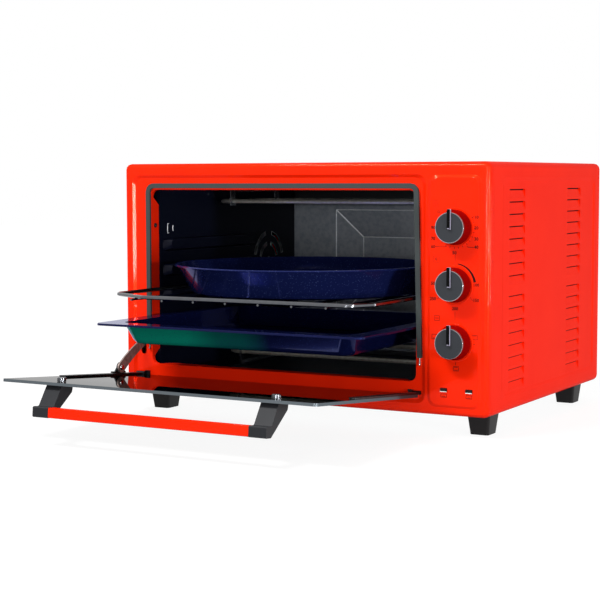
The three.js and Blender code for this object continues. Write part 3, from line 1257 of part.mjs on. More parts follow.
// Crescent arm in the drawn position: it leaves its rivet steeply and bends towards level.
function doorArm(pinY, pinZ) {
  const start = THREE.MathUtils.degToRad(ARM_START_DEGREES);
  const turn = THREE.MathUtils.degToRad(ARM_START_DEGREES - ARM_END_DEGREES);
  const bend = ARM_LENGTH / turn;
  const middle = (share) => {
    const angle = start - turn * share;
    return {
      y: pinY + bend * (Math.sin(start) - Math.sin(angle)),
      z: pinZ + bend * (Math.cos(angle) - Math.cos(start)),
      angle,
    };
  };
  const edge = (share, side) => {
    const { y, z, angle } = middle(share);
    const half = THREE.MathUtils.lerp(ARM_EYE_RADIUS, ARM_END_RADIUS, share);
    return [y - side * half * Math.sin(angle), z + side * half * Math.cos(angle)];
  };
  const shares = Array.from({ length: ARM_STEPS + 1 }, (_, i) => i / ARM_STEPS);
  const outline = [...shares.map((s) => edge(s, 1)), ...shares.map((s) => edge(s, -1)).reverse()];
  const end = middle(1);
  const right = armLeft + ARM_THICKNESS;
  return cut(
    join(
      extrude(polygon(outline), "x", armLeft, right),
      cylinder("x", pinY, pinZ, ARM_EYE_RADIUS, armLeft, right),
      cylinder("x", end.y, end.z, ARM_END_RADIUS, armLeft, right)),
    cylinder("x", pinY, pinZ, ARM_PIN_RADIUS + ARM_CLEARANCE, armLeft - OVERRUN, right + OVERRUN),
    cylinder("x", end.y, end.z, ARM_SPRING_HOLE, armLeft - OVERRUN, right + OVERRUN, SWEEP_SIDES));
}

const rackRimZ = ribTops[RACK_RIB] + SEAT_GAP + RACK_RIM_RADIUS;
const rackLeft = cavityLeft + RACK_SIDE_GAP + RACK_RIM_RADIUS;
const rackRight = cavityRight - RACK_SIDE_GAP - RACK_RIM_RADIUS;
const rackFront = RACK_FRONT + RACK_RIM_RADIUS;
const rackRear = cavityBackY - RACK_BACK_GAP - RACK_RIM_RADIUS;

// Wire rack: a rim with chamfered front corners over wires that run from front to back.
function wireRack() {
  const middle = (rackFront + rackRear) / 2;
  const frontHalf = rounded([
    [rackLeft, middle + OVERRUN, rackRimZ], [rackLeft, rackFront + RACK_CHAMFER_DEPTH, rackRimZ],
    [rackLeft + RACK_LEFT_CHAMFER, rackFront, rackRimZ],
    [rackRight - RACK_RIGHT_CHAMFER, rackFront, rackRimZ],
    [rackRight, rackFront + RACK_CHAMFER_DEPTH, rackRimZ], [rackRight, middle + OVERRUN, rackRimZ],
  ], RACK_BEND);
  const rearHalf = rounded([
    [rackLeft, middle, rackRimZ], [rackLeft, rackRear, rackRimZ],
    [rackRight, rackRear, rackRimZ], [rackRight, middle, rackRimZ],
  ], RACK_BEND);
  const wireZ = rackRimZ - RACK_RIM_RADIUS - RACK_WIRE_RADIUS + WELD_DEPTH;
  const first = rackLeft + RACK_EDGE_SPACE;
  const pitch = (rackRight - RACK_EDGE_SPACE - first) / (RACK_WIRE_COUNT - 1);
  const wires = Array.from({ length: RACK_WIRE_COUNT }, (_, i) =>
    cylinder("y", first + i * pitch, wireZ, RACK_WIRE_RADIUS, rackFront - RACK_RIM_RADIUS / 2,
      rackRear + RACK_RIM_RADIUS / 2, RACK_WIRE_SIDES));
  const [frontRim, rearRim] = [frontHalf, rearHalf].map((line) =>
    wire(line, RACK_RIM_RADIUS, RACK_WIRE_SIDES));
  return join(frontRim, rearRim, ...wires);
}

// Pressed baking tray: a trough with tapered walls in a wide flat flange whose edge is turned down.
function bakingTray() {
  const rimZ = ribTops[TRAY_RIB] + SEAT_GAP + TRAY_LIP;
  const rim = [openingLeft + TRAY_LEFT_GAP, TRAY_FRONT,
    openingRight - TRAY_RIGHT_GAP, cavityBackY - TRAY_BACK_GAP];
  const floor = rimZ - TRAY_HEIGHT;
  const bend = TRAY_FLOOR_BEND;
  const foot = TRAY_FLANGE + TRAY_TAPER;
  const level = (inset, radius, z) => ring(grow(rim, -inset), radius, z, TRAY_CORNER_COUNT);
  const outside = loft("z", [
    level(TRAY_FLANGE, TRAY_RADIUS, rimZ - TRAY_WALL / 2),
    level(foot - bend / 2, TRAY_RADIUS, floor + bend),
    level(foot, TRAY_RADIUS - bend / 4, floor + bend / 4),
    level(foot + bend / 2, TRAY_RADIUS - bend / 2, floor),
  ]);
  const innerRadius = TRAY_RADIUS - TRAY_WALL;
  const inside = loft("z", [
    level(TRAY_FLANGE + TRAY_WALL, innerRadius, rimZ + OVERRUN),
    level(TRAY_FLANGE + TRAY_WALL, innerRadius, rimZ),
    level(foot - bend / 2 + TRAY_WALL, innerRadius, floor + bend),
    level(foot + bend / 2 + TRAY_WALL, innerRadius - bend / 2, floor + TRAY_WALL),
  ]);
  const lip = cut(
    loft("z", [
      level(0, TRAY_CORNER, rimZ - TRAY_LIP),
      level(0, TRAY_CORNER, rimZ - TRAY_WALL / 2),
      level(TRAY_WALL / 2, TRAY_CORNER - TRAY_WALL / 2, rimZ),
    ]),
    loft("z", [
      level(TRAY_WALL, TRAY_CORNER - TRAY_WALL, rimZ - TRAY_LIP - OVERRUN),
      level(TRAY_WALL, TRAY_CORNER - TRAY_WALL, rimZ - TRAY_WALL),
    ]));
  return cut(join(outside, lip), inside);
}

// Round enamelled dish: flat floor, soft bend, sloping wall and a rolled rim.
function roundDish() {
  const across = Math.min(rackRight - rackLeft, rackRear - rackFront);
  const edge = across / 2 + RACK_RIM_RADIUS - DISH_SIDE_GAP;
  const floor = rackRimZ - RACK_RIM_RADIUS + WELD_DEPTH + SEAT_GAP;
  const top = floor + DISH_HEIGHT;
  const foot = edge - DISH_ROLL - DISH_TAPER;
  const wall = edge - DISH_ROLL;
  const profile = [
    [0, floor], [foot - DISH_BEND, floor], [foot - DISH_BEND / 4, floor + DISH_BEND / 4],
    [foot + DISH_BEND / 5, floor + DISH_BEND], [wall - DISH_WALL, top - DISH_ROLL],
    [edge - DISH_ROLL / 3, top - DISH_ROLL], [edge, top - DISH_ROLL / 2],
    [edge - DISH_ROLL / 2, top], [wall - DISH_ROLL, top],
    [wall - 2 * DISH_WALL - DISH_ROLL / 2, top - DISH_ROLL],
    [foot + DISH_BEND / 5 - DISH_WALL, floor + DISH_BEND],
    [foot - DISH_BEND / 4 - DISH_WALL / 2, floor + DISH_BEND / 4 + DISH_WALL],
    [foot - DISH_BEND, floor + DISH_WALL], [0, floor + DISH_WALL],
  ];
  return revolve(profile, "z", shelfMiddle + DISH_SHIFT, RACK_FRONT + DISH_FRONT_GAP + edge, DISH_COUNT);
}

const oven = new THREE.Group();

function addCabinet() {
  const cabinet = new THREE.Group();
  add(cabinet, "front_frame", frontFrame(), FINISH.paint);
  add(cabinet, "outer_cover", outerCover(), FINISH.paint);
  add(cabinet, "base_plate", basePlate(), FINISH.plate);
  add(cabinet, "rear_cover", rearCover(), FINISH.plate);
  add(cabinet, "cable_gland", cableGland(), FINISH.plastic);
  const sides = { left: FOOT_SIDE_INSET - halfWidth, right: halfWidth - FOOT_SIDE_INSET - FOOT_WIDTH };
  const ends = { front: FOOT_FRONT_INSET, rear: BODY_DEPTH - FOOT_REAR_INSET - FOOT_LENGTH };
  Object.entries(ends).forEach(([end, y]) => Object.entries(sides).forEach(([side, x]) =>
    add(cabinet, `foot_${end}_${side}`, foot(x, y), FINISH.plastic)));
  const line = gasketLine();
  add(cabinet, "door_gasket", doorGasket(), FINISH.seal);
  add(cabinet, "gasket_hook_left", gasketHook(line[0]), FINISH.chrome);
  add(cabinet, "gasket_hook_right", gasketHook(line[line.length - 1]), FINISH.chrome);
  add(cabinet, "hinge_lug_left", hingeLug(leftBar + BAR_WIDTH + SEAT_GAP + LUG_THICKNESS, -1), FINISH.paint);
  add(cabinet, "hinge_lug_right", hingeLug(rightBar - SEAT_GAP - LUG_THICKNESS, 1), FINISH.paint);
  oven.add(cabinet);
}

function addCavity() {
  const cavity = new THREE.Group();
  add(cavity, "cavity_left_wall", cavitySide(cavityLeft, 1, fanGrille()), FINISH.enamel);
  add(cavity, "cavity_right_wall", cavitySide(cavityRight, -1, rodHoles()), FINISH.enamel);
  add(cavity, "cavity_ceiling", cavityCeiling(), FINISH.enamel);
  add(cavity, "cavity_floor", cavityFloor(), FINISH.enamel);
  add(cavity, "cavity_back", cavityBack(), FINISH.plate);
  add(cavity, "upper_heater", heatingRod(...upperRod), FINISH.rod);
  add(cavity, "lower_heater", heatingRod(...lowerRod), FINISH.rod);
  add(cavity, "upper_heater_clip", rodClip(...upperRod, cavityTop), FINISH.chrome);
  add(cavity, "lower_heater_clip", rodClip(...lowerRod, CAVITY_FLOOR), FINISH.chrome);
  add(cavity, "convection_motor", convectionMotor(), FINISH.dull);
  add(cavity, "fan_wheel", fanWheel(), FINISH.plate);
  oven.add(cavity);
}

function addControls() {
  const controls = new THREE.Group();
  const [timerZ, thermostatZ, modeZ] = knobHeights;
  add(controls, "control_chassis", controlChassis(), FINISH.plate);
  add(controls, "timer_unit", timerUnit(timerZ), FINISH.dull);
  add(controls, "thermostat_unit", thermostatUnit(thermostatZ), FINISH.fitting);
  add(controls, "mode_switch_unit", switchUnit(modeZ), FINISH.fitting);
  add(controls, "terminal_block", terminalBlock(), FINISH.fitting);
  lampPlaces.forEach((x, i) =>
    add(controls, i ? "pilot_lamp_right" : "pilot_lamp_left", pilotLamp(x), FINISH.lamp));
  const depths = { timer: TIMER_DEPTH, thermostat: THERMOSTAT_DEPTH, mode: SWITCH_DEPTH };
  Object.entries(depths).forEach(([name, depth], i) => {
    add(controls, `${name}_shaft`, controlShaft(knobHeights[i], depth), FINISH.chrome);
    add(controls, `${name}_knob`, knobBody(knobHeights[i]), FINISH.knob);
    add(controls, `${name}_knob_cap`, knobCap(knobHeights[i]), FINISH.cap);
  });
  oven.add(controls);
}

// The door is built shut, in u up and w towards the cavity, and then swung open about its hinge.
function addDoor() {
  const door = new THREE.Group();
  add(door, "door_glass", doorGlass(), FINISH.glass);
  add(door, "hinge_bar_left", hingeBar(leftBar), FINISH.dull);
  add(door, "hinge_bar_right", hingeBar(rightBar), FINISH.dull);
  add(door, "arm_ear", armEar(), FINISH.dull);
  add(door, "arm_rivet", armRivet(), FINISH.chrome);
  bracketPlaces.forEach((x, i) => {
    const side = i ? "right" : "left";
    add(door, `handle_bracket_${side}`, handleBracket(x), FINISH.plastic);
    add(door, `handle_bush_${side}`, handleBush(x), FINISH.chrome);
  });
  add(door, "handle_bar", handleBar(), FINISH.paint);
  door.rotation.x = THREE.MathUtils.degToRad(DOOR_OPEN_DEGREES);
  door.position.set(0, HINGE_Y, HINGE_Z);
  oven.add(door);
  const pin = new THREE.Vector3(0, ARM_PIN_W, ARM_PIN_U).applyEuler(door.rotation).add(door.position);
  add(oven, "door_arm", doorArm(pin.y, pin.z), FINISH.arm);
}

function addShelves() {
  add(oven, "wire_rack", wireRack(), FINISH.chrome);
  add(oven, "baking_tray", bakingTray(), FINISH.enamel);
  add(oven, "round_dish", roundDish(), FINISH.enamel);
}

addCabinet();
addCavity();
addControls();
addDoor();
addShelves();

// The origin goes on the worktop, below the middle of the whole object as drawn.
const extent = new THREE.Box3().setFromObject(oven);
oven.position.set(0, -(extent.min.y + extent.max.y) / 2, FOOT_HEIGHT);

export default oven;
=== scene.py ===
# %% [markdown]
# # A red table oven with its door down
# The solid model of the oven arrives packed, in metres, standing on z = 0 with its door towards -Y.
# It is never moved here. This file gives its pieces their finishes, adds the printed panel and the
# small fasteners, and sets a camera and lights for a plain studio picture.

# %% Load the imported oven
import math
import bmesh
import bpy
from mathutils import Matrix, Vector


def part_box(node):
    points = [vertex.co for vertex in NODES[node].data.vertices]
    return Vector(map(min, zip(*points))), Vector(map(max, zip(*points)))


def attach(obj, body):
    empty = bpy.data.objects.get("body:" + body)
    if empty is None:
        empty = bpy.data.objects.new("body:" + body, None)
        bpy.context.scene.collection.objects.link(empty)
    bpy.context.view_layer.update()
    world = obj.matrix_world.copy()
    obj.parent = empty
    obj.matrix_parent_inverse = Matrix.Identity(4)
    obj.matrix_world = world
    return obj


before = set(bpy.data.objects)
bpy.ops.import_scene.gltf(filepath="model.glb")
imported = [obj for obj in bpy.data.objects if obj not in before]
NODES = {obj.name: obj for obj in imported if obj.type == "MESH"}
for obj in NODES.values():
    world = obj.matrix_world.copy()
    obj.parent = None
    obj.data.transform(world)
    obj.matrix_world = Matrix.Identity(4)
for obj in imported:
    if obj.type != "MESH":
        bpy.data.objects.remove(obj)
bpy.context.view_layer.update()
MM = 0.001

# %% [markdown]
# Colours are chosen as sRGB hex values, the way a paint chart or a screen gives them. Blender mixes
# light in linear values, so one function turns the first into the second.

# %% A colour from its hex value
SRGB_KNEE, SRGB_SLOPE, SRGB_OFFSET, SRGB_POWER = 0.04045, 12.92, 0.055, 2.4


def colour(code):
    """The linear colour, with alpha 1, of an sRGB hex value such as 'C0FFEE'."""
    parts = [int(code[i:i + 2], 16) / 255 for i in (0, 2, 4)]
    linear = [p / SRGB_SLOPE if p <= SRGB_KNEE
              else ((p + SRGB_OFFSET) / (1 + SRGB_OFFSET)) ** SRGB_POWER for p in parts]
    return (*linear, 1.0)


print("middle grey in linear values:", round(colour("808080")[0], 3))

# %% [markdown]
# Every finish below is a small network of shader nodes. The same three moves come back each time:
# make a node, set its values, and join it to the nodes before it. One helper does all three, so the
# cells that follow read like a recipe. A new material starts with one Principled shader.

# %% One helper for nodes, one for a new finish


def add(tree, kind, inputs=(), **settings):
    """Adds a node, gives it its settings, and sets each input or joins it to a socket."""
    node = tree.nodes.new(kind)
    for name, value in settings.items():
        setattr(node, name, value)
    for name, value in dict(inputs).items():
        if isinstance(value, bpy.types.NodeSocket):
            tree.links.new(value, node.inputs[name])
        else:
            node.inputs[name].default_value = value
    return node


def finish(name, **values):
    """A new material: its node tree and its one shader, with plain values set by socket name."""
    made = bpy.data.materials.new(name)
    made.use_nodes = True
    shader = made.node_tree.nodes["Principled BSDF"]
    for socket, value in values.items():
        shader.inputs[socket.replace("_", " ")].default_value = value
    return made, made.node_tree, shader


def places(tree):
    """Positions on the piece itself, in metres, so that a pattern keeps its real size."""
    return add(tree, "ShaderNodeTexCoord").outputs["Object"]


def per_metre(size_mm):
    """The scale of a pattern whose features are this many millimetres apart."""
    return 1 / (size_mm * MM)


print("a pattern with 2 mm between its features has scale", round(per_metre(2)))

# %% [markdown]
# The cabinet, the front frame and the door's handle bar are steel and aluminium with a glossy
# orange-red coating that was sprayed on as powder and melted. Up close such a coat is never quite
# flat: it has a soft ripple called orange peel, about 3 mm from crest to crest. The ripple is what
# makes a lamp's reflection look like paint and not like glass. It could be modelled, but a bump is
# enough for waves a few micrometres high. A clear coat over plain red would turn pink wherever it
# mirrors a white room. So part of the shine is metallic here, which keeps the paint's own red in
# its reflections, with an orange tint where light grazes it, and only a thin clear coat adds white
# to the brightest highlights.

# %% Red powder coat
PEEL_MM = 3.2          # crest to crest
MOTTLE_MM = 60         # slow change of film thickness


def powder_coat(name, deep, thin):
    """Glossy coat over steel; deep and thin are its colours where the film is thick or thin."""
    made, tree, shader = finish(name, Roughness=0.16, Metallic=0.16, Coat_Weight=0.11,
                                Coat_Roughness=0.05, Coat_IOR=1.5, Specular_IOR_Level=0.0,
                                Specular_Tint=colour("FF5A30"))
    where = places(tree)
    mottle = add(tree, "ShaderNodeTexNoise", {"Vector": where, "Scale": per_metre(MOTTLE_MM)})
    film = add(tree, "ShaderNodeMix", {"Factor": mottle.outputs["Fac"], "A": colour(deep),
                                       "B": colour(thin)}, data_type="RGBA")
    tree.links.new(film.outputs["Result"], shader.inputs["Base Color"])
    peel = add(tree, "ShaderNodeTexNoise", {"Vector": where, "Scale": per_metre(PEEL_MM),
                                            "Detail": 1.0})
    ripple = add(tree, "ShaderNodeBump", {"Height": peel.outputs["Fac"], "Strength": 0.05,
                                          "Distance": 0.1 * MM})
    for socket in ("Normal", "Coat Normal"):
        tree.links.new(ripple.outputs["Normal"], shader.inputs[socket])
    return made


body_paint = powder_coat("red_powder_coat", "F42205", "FB2A08")   # wet-looking orange-red
bar_paint = powder_coat("red_lacquer", "F92103", "FE2905")        # the same red on the handle bar
print("made", body_paint.name, "and", bar_paint.name)

# %% [markdown]
# The cavity is lined with black enamel: ground glass fused to sheet steel. It is smooth and faintly
# shiny, and it carries fine specks that are hardly paler than the ground. The dish and the tray are
# enamelled too, in a deep blue with pale speckle about a millimetre wide, as camping pans are. The
# specks lie within the glaze, so they need no shape of their own. A cell pattern draws them instead:
# it has one point in each cell, and some of the points get a round spot. The deep blue glass tints
# what it mirrors, so a share of its shine is metallic with a blue tint.

# %% Enamels
SPECK_FULL, SPECK_GONE = 0.2, 0.34     # a speck fades between these parts of the cells' size
WAVE_MM = 30                           # the slow unevenness of the sheet under the glass


def enamel(name, ground, speck, speck_mm, share, roughness, shine, metallic=0.0, glint="FFFFFF"):
    """Fused glass on steel: a ground with specks in a share of its cells, and a slight wave."""
    made, tree, shader = finish(name, Roughness=roughness, IOR=1.52, Coat_Weight=shine,
                                Coat_Roughness=0.05, Specular_IOR_Level=shine,
                                Metallic=metallic, Specular_Tint=colour(glint))
    where = places(tree)
    cells = add(tree, "ShaderNodeTexVoronoi", {"Vector": where, "Scale": per_metre(speck_mm)})
    chance = add(tree, "ShaderNodeTexWhiteNoise", {"Vector": cells.outputs["Position"]})
    picked = add(tree, "ShaderNodeMath", {0: chance.outputs["Value"], 1: share},
                 operation="LESS_THAN")
    spot = add(tree, "ShaderNodeMapRange", {"Value": cells.outputs["Distance"],
                                            "From Min": SPECK_GONE, "From Max": SPECK_FULL})
    mask = add(tree, "ShaderNodeMath", {0: picked.outputs[0], 1: spot.outputs[0]},
               operation="MULTIPLY")
    glaze = add(tree, "ShaderNodeMix", {"Factor": mask.outputs[0], "A": colour(ground),
                                        "B": colour(speck)}, data_type="RGBA", name="glaze")
    tree.links.new(glaze.outputs["Result"], shader.inputs["Base Color"])
    wave = add(tree, "ShaderNodeTexNoise", {"Vector": where, "Scale": per_metre(WAVE_MM)})
    bump = add(tree, "ShaderNodeBump", {"Height": wave.outputs["Fac"], "Strength": 0.1,
                                        "Distance": 0.1 * MM})
    tree.links.new(bump.outputs["Normal"], shader.inputs["Normal"])
    return made


WARE = {"speck_mm": 1.5, "share": 0.2, "roughness": 0.14, "shine": 0.12, "metallic": 0.35,
        "glint": "8890FF"}
cavity_enamel = enamel("black_cavity_enamel", "070A18", "1A1C28", speck_mm=1.6, share=0.12,
                       roughness=0.35, shine=0.05)                  # nearly black, a faint shine
dish_enamel = enamel("blue_speckled_enamel", "151E4E", "4A5890", **WARE)          # deep blue
tray_enamel = enamel("blue_green_speckled_enamel", "0A1038", "27356B", **WARE)    # darker still
print("made", cavity_enamel.name, dish_enamel.name, "and", tray_enamel.name)

# %% [markdown]
# On this tray the outer face of the front wall goes unevenly from blue to green, and the green fades
# towards the right. That green is a painted reflection, laid into the enamel's colour. A painted mask
# could say where, but a mask made of plain tests needs no picture. Six are multiplied: how far left a
# point is, a slow drift, how steeply its face looks forward, whether it is on the front wall, whether
# it is below the flange, and a wave down the wall.

# %% Painted green reflection on the tray's front
# the green is a painted reflection; it gets stronger to the left
GREEN_NONE_X, GREEN_FULL_X, DRIFT_MM = 40, -230, 120    # mm across: the runs get stronger to the left
STEEP_NONE, STEEP_FULL = -0.4, -0.7               # the part of a face's normal along Y
GREEN_BEFORE, GREEN_TOP, FADE_MM = -150, 144, 2     # mm: in front of the first, below the second
WAVE_LENGTH_MM = 88                               # crest to crest; the wall shows part of one wave
WAVE_RATE = 20                                    # radians per metre of a wave of scale 1
GREEN_NONE, GREEN_FULL = 0.02, 0.3                    # the product of the masks, from blue to green

tree = tray_enamel.node_tree
where = places(tree)
at = add(tree, "ShaderNodeSeparateXYZ", {"Vector": where})
slope = add(tree, "ShaderNodeSeparateXYZ",
            {"Vector": add(tree, "ShaderNodeTexCoord").outputs["Normal"]})
left = add(tree, "ShaderNodeMapRange", {"Value": at.outputs["X"], "From Min": GREEN_NONE_X * MM,
                                        "From Max": GREEN_FULL_X * MM})
drift = add(tree, "ShaderNodeTexNoise", {"Vector": where, "Scale": per_metre(DRIFT_MM)})
steep = add(tree, "ShaderNodeMapRange", {"Value": slope.outputs["Y"], "From Min": STEEP_NONE,
                                         "From Max": STEEP_FULL})
front = add(tree, "ShaderNodeMath", {0: at.outputs["Y"], 1: GREEN_BEFORE * MM},
            operation="LESS_THAN")
below = add(tree, "ShaderNodeMapRange", {"Value": at.outputs["Z"], "From Min": GREEN_TOP * MM,
                                         "From Max": (GREEN_TOP - FADE_MM) * MM})
down_wave = add(tree, "ShaderNodeTexWave",
          {"Vector": where, "Scale": 2 * math.pi * per_metre(WAVE_LENGTH_MM) / WAVE_RATE,
           "Distortion": 1.5, "Detail": 1.0}, bands_direction="Z")
green_reflection = left.outputs[0]
for mask in (drift.outputs["Fac"], steep.outputs[0], front.outputs[0], below.outputs[0],
             down_wave.outputs["Fac"]):
    green_reflection = add(tree, "ShaderNodeMath", {0: green_reflection, 1: mask}, operation="MULTIPLY").outputs[0]
depth = add(tree, "ShaderNodeMapRange", {"Value": green_reflection, "From Min": GREEN_NONE,
                                         "From Max": GREEN_FULL})
glaze = tree.nodes["glaze"]
reflected_green = add(tree, "ShaderNodeMix",
             {"Factor": depth.outputs[0], "A": glaze.inputs["A"].default_value,
              "B": colour("0A9078")}, data_type="RGBA")
tree.links.new(reflected_green.outputs["Result"], glaze.inputs["A"])
print("runs on", tray_enamel.name)

# %% [markdown]
# Bare and plated metal comes in eight kinds here: chromed wire, bright zinc plate, polished edges,
# the grey steel of the hinge bars, the browned steel of the door's arm, the sheath of the heaters,
# the back wall of the cavity, and a pale steel for beads on its creases whose paleness is a painted
# highlight. They differ in colour, in how sharp their reflections are, and in how far an oxide
# covers them. The sheath has been hot, so it is beige with blotches, but it still has a line of
# light along it. The back wall is a dull grey that the rest of the cavity isn't.

# %% Metals
BLOTCH_MM = 7
BLOTCH_FROM, BLOTCH_TO = 0.42, 0.68    # noise below the first is clean, above the second stained
ROUGHEST = 1.6                         # times as rough where the noise is at its highest


def metal(name, tone, stain, roughness, stain_share, metallic=1.0):
    """Metal with a second tone in blotches, whose roughness follows the blotches a little."""
    made, tree, shader = finish(name, Metallic=metallic)
    blotch = add(tree, "ShaderNodeTexNoise", {"Vector": places(tree),
                                              "Scale": per_metre(BLOTCH_MM), "Detail": 4.0})
    amount = add(tree, "ShaderNodeMapRange", {"Value": blotch.outputs["Fac"],
                                              "From Min": BLOTCH_FROM, "From Max": BLOTCH_TO,
                                              "To Max": stain_share})
    tint = add(tree, "ShaderNodeMix", {"Factor": amount.outputs[0], "A": colour(tone),
                                       "B": colour(stain)}, data_type="RGBA")
    tree.links.new(tint.outputs["Result"], shader.inputs["Base Color"])
    dull = add(tree, "ShaderNodeMapRange", {"Value": blotch.outputs["Fac"], "To Min": roughness,
                                            "To Max": roughness * ROUGHEST})
    tree.links.new(dull.outputs[0], shader.inputs["Roughness"])
    return made


rack_wire = metal("chromed_wire", "606266", "46484C", 0.16, 0.3)                # sharp, mid grey
plated_steel = metal("bright_zinc_plate", "B9BCBE", "989B9D", 0.3, 0.5)         # pale and soft
bright_steel = metal("polished_steel", "A2A4A8", "7A7C80", 0.14, 0.2)           # sharp, pale
hinge_steel = metal("grey_hinge_steel", "2C2D2F", "17181A", 0.34, 0.6)          # dark, stained
arm_steel = metal("browned_arm_steel", "9A8A84", "6A5A54", 0.42, 0.7, 0.8)      # warm and dull
heater_sheath = metal("heater_sheath_oxide", "E4E0D4", "B4AEA2", 0.32, 0.4, 0.9)   # beige
back_steel = metal("dull_back_wall_steel", "8A9098", "6E747C", 0.45, 0.5, 0.3)     # catches light
# the pale crease steel is a painted highlight along the creases and on the clip
crease_highlight_steel = metal("pale_crease_highlight_steel", "E4E8EC", "C6CACE", 0.35, 0.4, 0.3)    # pale lines
print("made eight metals")

# %% [markdown]
# The back wall isn't the same all over. Above the upper heater it is painted nearly black, which is
# painted shade, and towards the right it is painted paler, which is painted light. Both changes have a
# place on the wall, so a ramp along its height and one along its width lay a second tone over the
# first.

# %% Painted shade above the heater and painted light to the right on the back wall
PAINTED_SHADE_FROM, PAINTED_SHADE_TO = 300, 308          # mm above the table: the wall darkens over this height
PAINTED_LIGHT_FROM, PAINTED_LIGHT_TO = -60, 160        # mm across: it gets paler towards its right side
PAINTED_LIGHT_SHARE = 0.7

tree = back_steel.node_tree
base = tree.nodes["Principled BSDF"].inputs["Base Color"]
at = add(tree, "ShaderNodeSeparateXYZ", {"Vector": places(tree)})
# painted light: the wall gets paler towards its right side
painted_light_ramp = add(tree, "ShaderNodeMapRange", {"Value": at.outputs["X"], "From Min": PAINTED_LIGHT_FROM * MM,
                                         "From Max": PAINTED_LIGHT_TO * MM, "To Max": PAINTED_LIGHT_SHARE})
painted_light_mix = add(tree, "ShaderNodeMix", {"Factor": painted_light_ramp.outputs[0], "A": base.links[0].from_socket,
                                    "B": colour("D8DCE2")}, data_type="RGBA")
# painted shade: the wall goes nearly black above the upper heater
painted_shade_ramp = add(tree, "ShaderNodeMapRange", {"Value": at.outputs["Z"], "From Min": PAINTED_SHADE_FROM * MM,
                                            "From Max": PAINTED_SHADE_TO * MM})
wall = add(tree, "ShaderNodeMix", {"Factor": painted_shade_ramp.outputs[0], "A": painted_light_mix.outputs["Result"],
                                   "B": colour("121214")}, data_type="RGBA")
tree.links.new(wall.outputs["Result"], base)
print("soot above", PAINTED_SHADE_FROM, "mm on", back_steel.name)

# %% [markdown]
# The plastics are injection moulded. The feet are a black polyamide and the handle's brackets a
# dark grey one, both with a spark-eroded grain, which scatters light into a soft sheen. The knobs'
# skirts are smooth and red. Their caps are dark grey discs with a satin face, the seal is grey
# silicone, and the pilot lamps are dark windows until they are lit. A grained or matt skin sends
# most of a white room's reflection elsewhere, so these keep a low specular level and stay dark.

# %% Plastics, rubber and lenses
GRAIN_MM = 0.9         # the real grain is finer; drawn this coarse so that it shows
GRAIN_LIGHT = 1.35     # the grain's crests are this much lighter than its valleys


def moulded(name, tone, roughness, grain_mm, depth, shine=0.18):
    """Moulded plastic or rubber with a fine grain of the given depth in millimetres."""
    made, tree, shader = finish(name, Roughness=roughness, IOR=1.46, Specular_IOR_Level=shine)
    grain = add(tree, "ShaderNodeTexNoise", {"Vector": places(tree),
                                             "Scale": per_metre(grain_mm), "Detail": 3.0})
    crests = [min(1.0, GRAIN_LIGHT * c) for c in colour(tone)]
    light = add(tree, "ShaderNodeMix", {"Factor": grain.outputs["Fac"], "A": colour(tone),
                                        "B": crests}, data_type="RGBA")
    tree.links.new(light.outputs["Result"], shader.inputs["Base Color"])
    bump = add(tree, "ShaderNodeBump", {"Height": grain.outputs["Fac"], "Strength": 0.5,
                                        "Distance": depth * MM})
    tree.links.new(bump.outputs["Normal"], shader.inputs["Normal"])
    return made


black_plastic = moulded("grained_black_polyamide", "141213", 0.5, GRAIN_MM, 0.05)    # soft black
bracket_plastic = moulded("grained_grey_polyamide", "1D1E21", 0.5, GRAIN_MM, 0.05)   # a shade paler
control_moulding = moulded("grey_switch_moulding", "3A3B3C", 0.55, GRAIN_MM, 0.04)   # mid grey
gasket = moulded("grey_silicone_seal", "353A3A", 0.6, 1.4, 0.05)                     # dull grey
knob_skirt = moulded("gloss_red_knob_skirt", "7C0303", 0.26, 2.0, 0.01, 0.02)        # deep red
knob_cap = moulded("satin_grey_cap", "2C2E32", 0.4, 0.5, 0.02)                       # satin grey
lamp_lens = moulded("smoked_lamp_lens", "1A0E0D", 0.12, 2.0, 0.01)                   # dark, sharp
print("made plastics, seal and lens")

# %% [markdown]
# The door is one pane of 4 mm float glass, tinted so dark that it looks black, with ground edges. A
# pane this dark lets nothing through, so what is left is its surface, which sends back 4% of the
# light that meets it head on and much more at a grazing angle. That is the same as a mirror of 4%,
# so the shader is a metal of that tone. A dark specular tint holds the grazing reflection down to
# the grey that a dark glass door shows when it is seen this low. The ground edge is a thin frosted
# line, so the pane gets two finishes in one material, and the edge is found by how far a face turns
# from the pane's own plane. Normals on the piece itself are used, as they turn with the door.

# %% Tinted glass
DOOR_TILT = math.radians(5)            # the open door rises this much towards its handle
FLAT_FACING, EDGE_FACING = 0.95, 0.8   # how far a face looks along the pane's own normal
POLISHED, FROSTED = 0.015, 0.45        # roughness
pane_normal = Vector((0, math.sin(DOOR_TILT), math.cos(DOOR_TILT)))

door_glass, tree, shader = finish("tinted_float_glass", Metallic=1.0,
                                  Specular_Tint=colour("202020"))
turned = add(tree, "ShaderNodeVectorMath", {0: add(tree, "ShaderNodeTexCoord").outputs["Normal"],
                                            1: pane_normal}, operation="DOT_PRODUCT")
facing = add(tree, "ShaderNodeMath", {0: turned.outputs["Value"]}, operation="ABSOLUTE")
ground = add(tree, "ShaderNodeMapRange", {"Value": facing.outputs[0], "From Min": FLAT_FACING,
                                          "From Max": EDGE_FACING})
tone = add(tree, "ShaderNodeMix", {
    "Factor": ground.outputs[0],
    "A": colour("36383A"),             # 4% of the light
    "B": colour("5E656A"),             # a frosted edge sends back more
}, data_type="RGBA")
tree.links.new(tone.outputs["Result"], shader.inputs["Base Color"])
frost = add(tree, "ShaderNodeMapRange", {"Value": ground.outputs[0], "To Min": POLISHED,
                                         "To Max": FROSTED})
tree.links.new(frost.outputs[0], shader.inputs["Roughness"])
print("made", door_glass.name)

